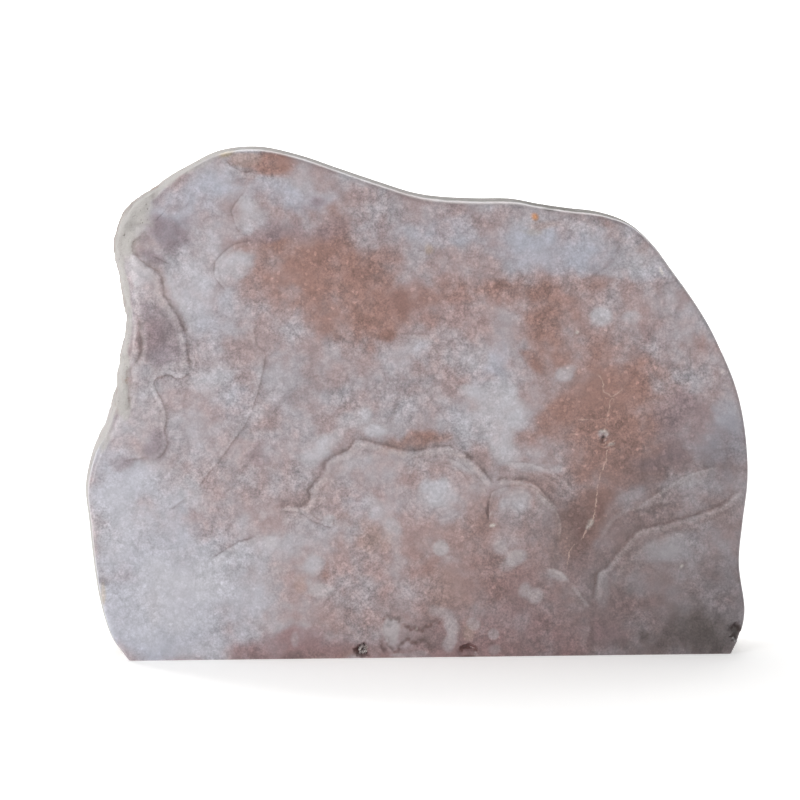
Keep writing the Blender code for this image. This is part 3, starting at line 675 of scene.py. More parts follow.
@dataclass(frozen=True)
class SlabForm:
    """The shape of the stone: a loft through rings of its outline, in mm.

    The outline, the rim and the back repeat the driving sizes of the solid that this
    mesh stands for. The mesh is finer, so that it also holds the pits, the skin of the
    rind and the roughness of the back.
    """

    outline: tuple[tuple[float, float], ...] = (
        (92.6, 0.0), (95.2, 5.5), (96.6, 13.5), (94.8, 27.0), (95.7, 39.0), (97.1, 51.0),
        (96.9, 61.0), (95.5, 71.5), (93.0, 81.0), (89.2, 90.0), (84.9, 98.5), (79.6, 106.7),
        (74.0, 114.3), (68.3, 121.8), (61.2, 127.9), (52.6, 130.9), (43.5, 132.0),
        (34.5, 133.3), (26.5, 134.7), (16.0, 134.8), (5.5, 135.3), (-3.0, 136.6),
        (-13.0, 139.7), (-25.5, 143.9), (-36.5, 147.6), (-48.0, 150.0), (-59.0, 149.0),
        (-68.2, 144.7), (-77.6, 139.3), (-85.7, 133.4), (-90.2, 123.5), (-88.2, 110.5),
        (-86.8, 99.5), (-88.4, 90.0), (-90.0, 80.5), (-92.3, 71.0), (-96.4, 61.4),
        (-98.6, 50.8), (-97.7, 40.2), (-96.6, 29.0), (-94.9, 17.5), (-91.8, 6.8),
        (-87.2, 0.0),
    )
    right_shoulder: Span = (61.2, 127.9)
    left_shoulder: Span = (-77.6, 139.3)
    run_on: float = 26.0

    depth_at_base: float = 43.0
    back_lean: float = 0.085
    rim_round: float = 1.4
    rind_round: float = 6.0
    rind_flat: float = 0.35  # how much shallower than round the rind's rim is
    shoulder_round: float = 8.0
    shoulder_heights: Span = (102.0, 126.0)
    back_round: float = 13.0
    back_round_drift: float = 4.0
    back_flat: float = 0.8  # depth of the back's rim for each mm across
    wall_swell: float = 1.4
    front_arris: float = 0.5
    back_arris: float = 1.0
    scar_edge: float = 6.0
    fresh_edge: float = 5.0  # mm, where the scar's fresh stone gives way to rind
    corner_calm: float = 8.0
    calm_step: float = 0.5
    calm_window: int = 60  # steps to each side

    span_steps: int = 40
    base_steps: int = 242
    side_steps: int = 162
    front_levels: int = 6
    wall_levels: int = 9
    back_levels: int = 8
    base_close: Span = (0.385, 0.605)  # the stretch of the base with the pits
    side_close: Span = (0.0, 0.055)  # the foot of the sides
    closeness: float = 2.2
    back_relax: int = 500

    lumps: tuple[tuple[float, float, float, float], ...] = (
        (-62.0, 118.0, 26.0, 3.2), (-22.0, 122.0, 20.0, -1.6), (14.0, 108.0, 28.0, 2.4),
        (58.0, 96.0, 24.0, 2.8), (-72.0, 74.0, 22.0, -2.2), (-34.0, 70.0, 30.0, 3.0),
        (22.0, 62.0, 22.0, -1.8), (66.0, 52.0, 24.0, 2.2), (-66.0, 30.0, 26.0, 2.0),
        (-10.0, 26.0, 26.0, 1.8), (44.0, 22.0, 20.0, -1.4),
    )
    scars: tuple[FlakeScar, ...] = (
        FlakeScar(46.0, 34.0, 25.0, 2.6, 0.4), FlakeScar(-52.0, 99.0, 21.0, 2.2, 2.1),
        FlakeScar(6.0, 84.0, 15.0, 1.5, 4.0),
    )
    pits: tuple[Pit, ...] = (
        Pit(-17.6, 2.4, 2.1, 2.1, 2.6, 0.0, 0.22, 0.0),
        Pit(13.9, 1.5, 3.0, 2.5, 2.8, 0.0, 0.05, 1.0),
        Pit(54.2, 65.4, 0.9, 1.3, 1.4, 10.0, 0.25, 0.0),
        Pit(-9.0, 10.9, 1.9, 1.3, 0.5, 10.0, 0.30, 0.0),
        Pit(-2.7, 2.6, 3.9, 2.4, 0.7, 0.0, 0.25, 0.4),
        Pit(-10.8, 3.9, 1.2, 2.0, 0.6, 10.0, 0.35, 0.0),
        Pit(4.9, 9.4, 2.2, 1.3, 0.4, 20.0, 0.30, 0.0),
        Pit(20.2, 44.3, 0.6, 2.9, 0.9, -3.0, 0.20, 0.0),
        Pit(94.6, 6.6, 1.6, 3.2, 2.6, 12.0, 0.08, 0.0),
    )
    grooves: tuple[Groove, ...] = (
        Groove("rind_crevice", 1.0, 0.7, 0.0), Groove("left_ledge", 1.0, 0.35, 0.22),
    )
    ledge_ramp: float = 1.6
    ledge_runs_out: Span = (4.0, 13.0)

    def rind_share(self, x: Array, z: Array) -> Array:
        """How much of the rim is natural rind: 1 down the left side, 0 where polished."""
        return ease(-x, 66.0, 84.0) * ease(z, 52.0, 84.0)

    def back_y(self, x: Array, z: Array) -> Array:
        """How far back the natural back lies.

        Args:
            x, z: places along the slab and heights, in mm.

        Returns:
            How far each point lies behind the front face, in mm.
        """
        lumps = sum(h * np.exp(-((x - cx) ** 2 + (z - cz) ** 2) / reach ** 2)
                    for cx, cz, reach, h in self.lumps)
        lumps = lumps - sum(s.depth * s.share(x, z, self.scar_edge) for s in self.scars)
        return self.depth_at_base - self.back_lean * z + lumps * ease(z, -6.0, 16.0)

    def scar_share(self, x: Array, z: Array) -> Array:
        """Where the back shows the fresh stone of a flake scar, with a wavy edge.

        Args:
            x, z: places along the slab and heights, in mm.

        Returns:
            1 in a scar, easing to 0 where the back has its rind.
        """
        x = x + 2.6 * np.sin(z * 0.31 + 1.0) + 1.2 * np.sin(z * 0.83 + x * 0.35)
        z = z + 2.2 * np.sin(x * 0.27) + 1.1 * np.sin(x * 0.74 + 2.0)
        return np.max([s.share(x, z, self.fresh_edge) for s in self.scars], axis=0)

    def free_outline(self) -> Array:
        """The outline from sawn corner to sawn corner, run on below the saw cut.

        Returns:
            Its points, as (x, z) in mm.
        """
        p = np.array(self.outline)
        start = (p[0] - p[1]) / np.linalg.norm(p[0] - p[1])
        end = (p[-1] - p[-2]) / np.linalg.norm(p[-1] - p[-2])
        p = np.vstack([p[0] + start * self.run_on, p, p[-1] + end * self.run_on])
        return smooth_curve(p, self.span_steps)

    def calmed(self, path: Array, out: Array) -> Array:
        """Outward directions averaged along the outline, so that a wide inset can't loop.

        Args:
            path: the free outline, as (x, z) in mm.
            out: its outward unit directions.

        Returns:
            The averaged unit directions.
        """
        s = along(path)
        steps = np.arange(0.0, s[-1], self.calm_step)
        reach = np.arange(-self.calm_window, self.calm_window + 1) * self.calm_step
        weights = np.exp(-0.5 * (reach / self.corner_calm) ** 2)
        soft = []
        for k in range(2):
            run = np.pad(np.interp(steps, s, out[:, k]), self.calm_window, mode="edge")
            soft.append(np.interp(s, steps, np.convolve(run, weights / weights.sum(), "valid")))
        soft = np.stack(soft, axis=1)
        return soft / np.linalg.norm(soft, axis=1)[:, None]

    def rim_levels(self, path: Array) -> Array:
        """The rim's levels along the outline.

        Args:
            path: the free outline, as (x, z) in mm.

        Returns:
            An array (level, point, xyz) from the front face's edge to the back face's.
        """
        run = np.gradient(path, axis=0)
        out = np.stack([run[:, 1], -run[:, 0]], axis=1)
        out /= np.linalg.norm(out, axis=1)[:, None]
        x, z = path.T
        rind = self.rind_share(x, z)
        wider = self.shoulder_round - self.rind_round
        worn = self.rind_round + wider * ease(z, *self.shoulder_heights)
        front = self.rim_round + (worn - self.rim_round) * rind
        back = self.back_round + self.back_round_drift * np.sin(x * 0.07 + 0.8) * np.cos(z * 0.05)
        calm = self.calmed(path, out)
        inner = path - calm * back[:, None]
        end = self.back_y(inner[:, 0], inner[:, 1])
        levels = []
        for t in np.linspace(0, math.pi / 2, self.front_levels + 1):
            levels.append((front * (1 - np.sin(t)),
                           front * (1 - np.cos(t)) * (1 - self.rind_flat * rind)))
        start, span = levels[-1][1], end - back * self.back_flat - levels[-1][1]
        for t in np.arange(1, self.wall_levels + 1) / (self.wall_levels + 1):
            levels.append((np.full(len(path), -self.wall_swell * np.sin(math.pi * t)),
                           start + span * t))
        for t in np.linspace(0, math.pi / 2, self.back_levels + 1):
            levels.append((back * (1 - np.cos(t)), end - back * self.back_flat * (1 - np.sin(t))))
        rows = []
        for k, (inset, depth) in enumerate(levels):
            q = path - (out if k <= self.front_levels + self.wall_levels else calm) * inset[:, None]
            rows.append(np.stack([q[:, 0], depth, q[:, 1]], axis=1))
        return np.array(rows)

    def ring(self, row: Array, height: float, marks: tuple[float, float],
             u: Array, v: Array) -> Array:
        """One level as a closed ring: base, right side, crest, left side.

        Args:
            row: the level's points along the free outline.
            height: where the saw cut trims it, in mm.
            marks: the shoulders, as fractions of the row.
            u: fractions along the base.
            v: fractions up the sides.

        Returns:
            The ring's points, the first at the left end of the base.
        """
        up = np.nonzero(row[:, 2] >= height)[0]
        first, last = up[0], up[-1]
        ends = []
        for inner, outer in ((row[first], row[first - 1]), (row[last], row[last + 1])):
            t = (height - outer[2]) / max(inner[2] - outer[2], 1e-9)
            ends.append(outer + (inner - outer) * t)
        row = np.vstack([ends[0], row[first + 1:last], ends[1]])
        a, b = (round(m * len(row)) for m in marks)
        runs = ((np.array([row[-1], row[0]]), u), (row[:a + 1], v),
                (row[a:b + 1], 1 - u[::-1]), (row[b:], 1 - v[::-1]))
        return np.vstack([spaced(points, part)[:-1] for points, part in runs])

    def rings(self) -> tuple[Array, Array, Array]:
        """All levels as rings.

        Returns:
            An array (level, point, xyz), the fractions along the base, and those up the sides.
        """
        path = self.free_outline()
        rows = self.rim_levels(path)
        marks = tuple(float(np.argmin(np.linalg.norm(path - np.array(p), axis=1))) / len(path)
                      for p in (self.right_shoulder, self.left_shoulder))
        u = graded(self.base_steps, *self.base_close, self.closeness)
        v = graded(self.side_steps, *self.side_close, self.closeness)
        heights = np.zeros(len(rows))
        heights[:2] = self.front_arris, self.front_arris / 2
        heights[-2:] = self.back_arris / 2, self.back_arris
        return np.array([self.ring(r, h, marks, u, v) for r, h in zip(rows, heights)]), u, v

    def blended(self, edge: Array, u: Array, v: Array, relax: int) -> Array:
        """A grid of points that fills a ring of four sides.

        Args:
            edge: the ring's points.
            u: fractions along the base.
            v: fractions up the sides.
            relax: how often each inner point is drawn towards its four neighbours.

        Returns:
            The grid's points, blended from the edges and then relaxed.
        """
        n, m = self.base_steps, self.side_steps
        closed = np.vstack([edge, edge[:1]])
        bottom, right = closed[:n + 1], closed[n:n + m + 1]
        top, left = closed[n + m:2 * n + m + 1][::-1], closed[2 * n + m:][::-1]
        p, q = u[None, :, None], v[:, None, None]
        across = left[:, None] * (1 - p) + right[:, None] * p
        upward = bottom[None] * (1 - q) + top[None] * q
        corners = (bottom[0] * (1 - p) * (1 - q) + bottom[n] * p * (1 - q)
                   + top[0] * (1 - p) * q + top[n] * p * q)
        grid = across + upward - corners
        for _ in range(relax):
            round_it = grid[:-2, 1:-1] + grid[2:, 1:-1] + grid[1:-1, :-2] + grid[1:-1, 2:]
            grid[1:-1, 1:-1] = (grid[1:-1, 1:-1] + round_it / 4) / 2
        return grid

    def broad_face(self, ring_start: int, first_new: int) -> Array:
        """Vertex numbers of one broad face's grid, its ring and its inside together.

        Args:
            ring_start: the number of its ring's first vertex.
            first_new: the number of its first inner vertex.

        Returns:
            The numbers, as rows from the base up.
        """
        n, m = self.base_steps, self.side_steps
        grid = np.empty((m + 1, n + 1), int)
        grid[1:m, 1:n] = first_new + np.arange((m - 1) * (n - 1)).reshape(m - 1, n - 1)
        grid[0] = ring_start + np.arange(n + 1)
        grid[:, n] = ring_start + n + np.arange(m + 1)
        grid[m] = ring_start + 2 * n + m - np.arange(n + 1)
        grid[1:, 0] = ring_start + (2 * (n + m) - np.arange(1, m + 1))
        return grid

    def relief(self, points: Array) -> Array:
        """How far the front sinks at its pits, its crevice and the ledge beside it.

        Args:
            points: points of the front face and its rim, in mm.

        Returns:
            The depth at each point, in mm.
        """
        x, z = points[:, 0], points[:, 2]
        sink = sum(pit.sink(x, z) for pit in self.pits)
        named = {vein.name: vein for vein in SEAMS}
        for groove in self.grooves:
            away, inside = VeinDistance(named[groove.seam]).measure(x, z)
            shelf = (ease(away, -self.ledge_ramp, self.ledge_ramp)
                     * (1 - ease(away, *self.ledge_runs_out)))
            cut = groove.depth * np.exp(-(away / groove.half_width) ** 2)
            sink = sink + (cut + groove.ledge * shelf) * inside
        return sink

    def solid(self) -> tuple[Array, Array]:
        """The whole stone.

        Returns:
            Its vertices in mm, and its four-sided faces.
        """
        rings, u, v = self.rings()
        count = rings.shape[1]
        front = self.blended(rings[0], u, v, 0)[1:-1, 1:-1].reshape(-1, 3)
        back = self.blended(rings[-1], u, v, self.back_relax)[1:-1, 1:-1].reshape(-1, 3)
        back[:, 1] = self.back_y(back[:, 0], back[:, 2])
        points = np.vstack([rings.reshape(-1, 3), front, back])
        first = np.arange(count)
        after = (first + 1) % count
        faces = [np.stack([a + first, b + first, b + after, a + after], axis=1)
                 for a, b in ((k * count, (k + 1) * count) for k in range(len(rings) - 1))]
        start = len(rings) * count
        for ring_start, new, turned in ((0, start, False),
                                        ((len(rings) - 1) * count, start + len(front), True)):
            g = self.broad_face(ring_start, new)
            quads = np.stack([g[:-1, :-1], g[:-1, 1:], g[1:, 1:], g[1:, :-1]], axis=-1)
            quads = quads.reshape(-1, 4)
            faces.append(quads[:, ::-1] if turned else quads)
        return points, np.vstack(faces)


# ---- the markings

class VeinDistance:
    """Measures how far points of the front plane lie from one vein."""

    span_steps: int = 8
    search: float = 16.0  # mm, how far from the vein points are measured
    far: float = 1e3
    end_fade: float = 1.8  # mm, over which the vein fades at its ends
    most_fade: float = 0.2  # of its length, at most

    def __init__(self, vein: Vein) -> None:
        """Smooth the vein's points into a fine run."""
        self.vein = vein
        self.line = smooth_curve(np.array(vein.points), self.span_steps)
        self.lengths = along(self.line)

    def measure(self, x: Array, z: Array) -> tuple[Array, Array]:
        """Distances from the vein.

        Args:
            x, z: places along the slab and heights, in mm.

        Returns:
            The signed distance in mm (positive on its pale side), and a share that is 1
            beside the vein and fades past its ends.
        """
        p = np.stack([x, z], axis=1)
        low, high = self.line.min(0) - self.search, self.line.max(0) + self.search
        near = np.all((p > low) & (p < high), axis=1)
        q = p[near]
        best = np.full(len(q), np.inf)
        signed_q, run_q = np.full(len(q), self.far), np.zeros(len(q))
        for start, a, b in zip(self.lengths, self.line[:-1], self.line[1:]):
            ab = b - a
            size = max(float(ab @ ab), 1e-12)
            t = np.clip(((q - a) @ ab) / size, 0.0, 1.0)
            gap = q - a - t[:, None] * ab
            away = np.einsum("ij,ij->i", gap, gap)
            side = np.sign(ab[0] * (q[:, 1] - a[1]) - ab[1] * (q[:, 0] - a[0]))
            closer = away < best
            best = np.where(closer, away, best)
            signed_q = np.where(closer, np.sqrt(away) * side * self.vein.side.value, signed_q)
            run_q = np.where(closer, start + t * math.sqrt(size), run_q)
        signed, run = np.full(len(p), self.far), np.zeros(len(p))
        signed[near], run[near] = signed_q, run_q
        length = self.lengths[-1]
        fade = min(self.end_fade, length * self.most_fade)
        return signed, ease(run, 0.0, fade) * ease(length - run, 0.0, fade)


@dataclass(frozen=True)
class StonePattern:
    """Where the minerals, seams, cracks and eyes are, written on the mesh for its shader.

    Seams are kept apart in layers so that, in one layer, each point of the stone has one
    nearest seam. A layer holds the distance in half widths, and the two strengths.
    """

    layers: int = 5
    reach: float = 9.0  # half widths, how far a seam and its band show
    reach_fade: float = 2.0
    nowhere: float = 50.0  # half widths, for points that have no seam near
    roomy: float = 20.0  # mm between seams, beyond which a layer is as good as empty
    drift: Span = (0.16, -0.10)  # how the veins slant for each mm of depth
    broad_bend: float = 13.0  # mm, size of the waves in a stain's edge
    small_bend: float = 4.5
    broad_most: float = 2.4  # mm, the most that they shift it
    small_most: float = 1.2
    broad_share: float = 0.32  # and the most for each mm of its smaller half size
    small_share: float = 0.3
    least_loose: float = 0.25  # how far a crisp stain follows the waves
    dot_size: Span = (0.65, 0.55)  # mm, half sizes of the rings' dark dots
    dot_soft: float = 0.5
    eye_squash: float = 1.12  # width of an agate eye for each mm of its height
    eye_core: float = 0.45  # of its reach, where its rings are at full strength
    film_heights: Span = (70.0, 118.0)
    film_starts: Span = (-62.0, -40.0)
    film_reach: float = 26.0
    matrix_x: float = 40.0  # mm, where dark matrix clings to the crest
    matrix_reach: float = 11.0
    matrix_heights: Span = (110.0, 125.0)
    arris_x: float = 15.0  # mm, the middle of the painted highlight on the crest's arris
    arris_reach: float = 22.0
    arris_heights: Span = (84.0, 112.0)
    near_rim: Span = (6.0, 16.0)  # mm behind the front, where wear shows

    def layer_of(self) -> list[list[Vein]]:
        """Share the seams out, so that close ones are in different layers.

        Returns:
            The seams of each layer.
        """
        coarse = 4
        layers: list[list[Vein]] = [[] for _ in range(self.layers)]
        for vein in sorted(SEAMS, key=lambda v: -v.width * len(v.points)):
            line = smooth_curve(np.array(vein.points), coarse)
            gaps = []
            for layer in layers:
                gap = VeinDistance.far
                for other in layer:
                    theirs = smooth_curve(np.array(other.points), coarse)
                    away = np.linalg.norm(line[:, None] - theirs[None], axis=2).min()
                    gap = min(gap, away - self.reach * (vein.width + other.width))
                gaps.append(gap)
            layers[int(np.argmax(np.minimum(gaps, self.roomy)))].append(vein)
        return layers

    def plane_point(self, x: Array, depth: Array, z: Array) -> tuple[Array, Array]:
        """Where a point of the stone falls on the front's plane, as the veins slant back."""
        return x + self.drift[0] * depth, z + self.drift[1] * depth

    def seam_layer(self, veins: list[Vein], x: Array, z: Array) -> Array:
        """One layer of seams.

        Args:
            veins: its seams.
            x, z: places along the slab and heights, in mm.

        Returns:
            For each point, the distance in half widths and the strengths of the seam and of
            its pale band.
        """
        out = np.zeros((len(x), 3))
        out[:, 0] = self.nowhere
        for vein in veins:
            signed, inside = VeinDistance(vein).measure(x, z)
            scaled = signed / vein.width
            fade = inside * (1 - ease(np.abs(scaled), self.reach - self.reach_fade, self.reach))
            nearer = np.abs(scaled) < np.abs(out[:, 0])
            new = np.stack([scaled, vein.dark * fade, vein.pale * fade], axis=1)
            out = np.where(nearer[:, None], new, out)
        out[:, 0] = np.clip(out[:, 0], -self.reach, self.reach)
        return out

    def wander(self, x: Array, z: Array) -> tuple[Array, Array]:
        """Two smooth fields of shifts that bend the stains' edges.

        Args:
            x, z: places along the slab and heights, in mm.

        Returns:
            The broad and the small shift of each point, from about -1 to 1 both ways.
        """
        fields = []
        for level, size in ((0.0, self.broad_bend), (9.0, self.small_bend)):
            shifts = [noise.noise_vector(Vector((a, b, level)) / size)
                      for a, b in zip(x.tolist(), z.tolist())]
            fields.append(np.array(shifts)[:, :2] * 2.0)
        return fields[0], fields[1]

    def stain(self, patches: tuple[Patch, ...], x: Array, z: Array,
              bends: tuple[Array, Array]) -> Array:
        """How strong one mineral is at each point.

        Args:
            patches: the mineral's patches.
            x, z: places along the slab and heights, in mm.
            bends: the shifts from wander.

        Returns:
            A strength from 0 to 1 for each point.
        """
        clear = np.ones(len(x))
        for p in patches:
            a, size = math.radians(p.turn), min(p.half_width, p.half_height)
            loose = min(1.0, max(self.least_loose, 2.0 * p.soft - 0.3))
            shift = loose * (bends[0] * min(self.broad_most, self.broad_share * size)
                             + bends[1] * min(self.small_most, self.small_share * size))
            dx, dz = x + shift[:, 0] - p.x, z + shift[:, 1] - p.z
            u = (dx * math.cos(a) + dz * math.sin(a)) / p.half_width
            v = (dz * math.cos(a) - dx * math.sin(a)) / p.half_height
            r = np.hypot(u, v)
            clear *= 1.0 - p.strength * (1.0 - ease(r, 1.0 - p.soft, 1.0 + p.soft))
        return 1.0 - clear

    def ring_dots(self) -> tuple[Patch, ...]:
        """Dark dots strung along the ragged rings by the base, where their grains fell out.

        Returns:
            The dots, some strong and some faint.
        """
        dots = []
        for vein in SEAMS:
            if vein.name.startswith("saw_ring"):
                for k, (x, z) in enumerate(smooth_curve(np.array(vein.points), 2)):
                    strength = vein.dark * (0.45 + 0.4 * math.sin(2.4 * k))
                    dots.append(Patch(x, z, *self.dot_size, self.dot_soft, strength))
        return tuple(dots)

    def eyes(self, x: Array, z: Array) -> tuple[Array, Array]:
        """The rings of the agate eyes.

        Args:
            x, z: places along the slab and heights, in mm.

        Returns:
            The ring number and the strength at each point.
        """
        ring, most = np.zeros(len(x)), np.zeros(len(x))
        for eye in EYES:
            r = np.hypot(x - eye.x, (z - eye.z) * self.eye_squash)
            strength = eye.strength * (1 - ease(r, eye.reach * self.eye_core, eye.reach))
            stronger = strength > most
            ring = np.where(stronger, r / eye.spacing, ring)
            most = np.where(stronger, strength, most)
        return ring, most

    def edges(self, raw: Array, deep: Array) -> tuple[Array, ...]:
        """The dark film behind the polished front, its dark matrix, and a painted highlight on the arris.

        Args:
            raw: the vertices in the form's own mm.
            deep: how far back each one is, as a share of the whole depth.

        Returns:
            The strengths of the film, of the matrix and of the painted arris highlight.
        """
        x, y, z = raw.T
        behind = ease(y, 1.0, 1.9)
        film = behind * ease(z, *self.film_heights) * (1 - ease(deep, 0.55, 0.85))
        film = film * (0.45 + 0.55 * np.exp(-((x - self.matrix_x) / self.film_reach) ** 2))
        film = film * ease(x, *self.film_starts)
        patch = np.exp(-((x - self.matrix_x) / self.matrix_reach) ** 2)
        matrix = behind * patch * ease(z, *self.matrix_heights) * (1 - ease(deep, 0.15, 0.5))
        # Painted highlight: a pale line just behind the front edge of the crest.
        arris = ease(y, 0.1, 0.4) * (1 - ease(y, 0.55, 0.95))
        arris = arris * np.exp(-((x - self.arris_x) / self.arris_reach) ** 2)
        return film, matrix, arris * ease(z, *self.arris_heights)

    def skin(self, form: SlabForm, raw: Array, strip: Array) -> tuple[Array, Array, Array, Array]:
        """Where the stone shows its natural rind, its sawn base and its flake scars.

        Args:
            form: the form it was built from.
            raw: the vertices in the form's own mm.
            strip: the strength of the rind's patches at each one.

        Returns:
            The shares of rind, sawn face and scar, and how far back each vertex is, as a
            share of the whole depth with a wavy edge.
        """
        x, y, z = raw.T
        true_deep = np.clip(y, 0.0, None) / form.back_y(x, z)
        deep = true_deep + 0.07 * np.sin(x * 0.21) * np.sin(z * 0.17 + 1.0)
        deep += 0.05 * np.sin(x * 0.6 + z * 0.5)
        polished = 1.0 - form.rind_share(x, z)
        rim = ease(y - 0.9 * polished, 0.8, 2.2) * 0.72 + 0.28 * ease(deep, 0.42, 0.72)
        rind = np.maximum(strip * (1 - 0.6 * ease(deep, 0.6, 0.9)), rim)
        scar = form.scar_share(x, z) * ease(true_deep, 0.8, 0.95)
        sawn = 1.0 - ease(z, 0.02, 0.3)
        return rind * (1 - 0.92 * scar) * (1 - sawn), sawn, scar, deep

    def write(self, mesh: bpy.types.Mesh, form: SlabForm, raw: Array, hollow: Array) -> None:
        """Write every marking on the mesh, up to three to a stored attribute.

        Args:
            mesh: the stone's mesh, in metres.
            form: the form it was built from.
            raw: the same vertices in the form's own mm, before it was centred.
            hollow: how deep the natural skin's hollows are at each one, in mm.
        """
        world = read_vectors(mesh.vertices, "co") / MM
        depth = np.clip(raw[:, 1], 0.0, None)
        x, z = self.plane_point(world[:, 0], depth, world[:, 2])
        bends = self.wander(x, z)
        masks = {kind: self.stain(patches, x, z, bends) for kind, patches in COLOUR_OVALS.items()}
        dots = self.stain(self.ring_dots(), x, z, bends)
        masks[Mineral.LIVER_AND_SHADE] = np.maximum(masks[Mineral.LIVER_AND_SHADE], dots)
        rind, sawn, scar, deep = self.skin(form, raw, self.stain(RIND_STRIP, x, z, bends))
        columns = {
            **{name: tuple(masks[kind] for kind in kinds) for name, kinds in STAIN_ORDER.items()},
            "skin": (rind, sawn, scar),
            "eyes": self.eyes(x, z),
            "edges": self.edges(raw, deep),
            "wear": (hollow, 1 - ease(raw[:, 1], *self.near_rim)),
        }
        for k, veins in enumerate(self.layer_of()):
            columns[f"seams_{k}"] = tuple(self.seam_layer(veins, x, z).T)
        columns["healed"] = tuple(self.seam_layer(list(HEALED_CRACKS), x, z).T)
        for name, parts in columns.items():
            stored = np.zeros((len(world), 3), np.float32)
            stored[:, :len(parts)] = np.stack(parts, axis=1)
            layer = mesh.attributes.new(name, "FLOAT_VECTOR", "POINT")
            layer.data.foreach_set("vector", stored.ravel())


# ---- the finish

# What a node that mixes colours, and one that eases between limits, is set to.
COLOURS = {"out": 2, "data_type": "RGBA"}
SMOOTH = {"interpolation_type": "SMOOTHSTEP"}


@dataclass(frozen=True)
class NodeSheet:
    """A material's node tree, with the one function that adds to it."""

    tree: bpy.types.NodeTree

    def add(self, kind: str, inputs: dict | None = None, out: int | str = 0,
            stops: tuple = (), **settings: object) -> Socket:
        """Add one node, set it up and link what feeds it.

        In a map range, inputs 1 and 2 are the range it reads and 3 and 4 the one it gives.
        In a mix, input 0 is the share, and 2 and 3, or 6 and 7 for colours, are its ends.

        Args:
            kind: the node's type without its ShaderNode, then its operation, if it has one.
            inputs: for each input, by name or number, a value, a hex colour or the socket
                that feeds it.
            out: the output to hand back.
            stops: for a ramp, its (position, colour) pairs.
            settings: the node's own options.

        Returns:
            The output socket; its node is the socket's node.
        """
        kind, _, operation = kind.partition(" ")
        made = self.tree.nodes.new("ShaderNode" + kind)
        if operation:
            made.operation = operation
        for name, value in settings.items():
            setattr(made, name, value)
        for key, value in (inputs or {}).items():
            if isinstance(value, Socket):
                self.tree.links.new(value, made.inputs[key])
            else:
                made.inputs[key].default_value = (
                    linear(value) if isinstance(value, str) else value)
        if stops:
            ramp = made.color_ramp
            while len(ramp.elements) < len(stops):
                ramp.elements.new(0.5)
            for element, (place, colour) in zip(ramp.elements, stops):
                element.position = place
                element.color = linear(colour) if isinstance(colour, str) else colour
        return made.outputs[out]


@dataclass(frozen=True)
class QuartzSheet(NodeSheet):
    """A node sheet and what every step on it reads: the place in mm, and three noises."""

    mm: Socket
    grain: Socket
    clouds: Socket
    tint: Socket


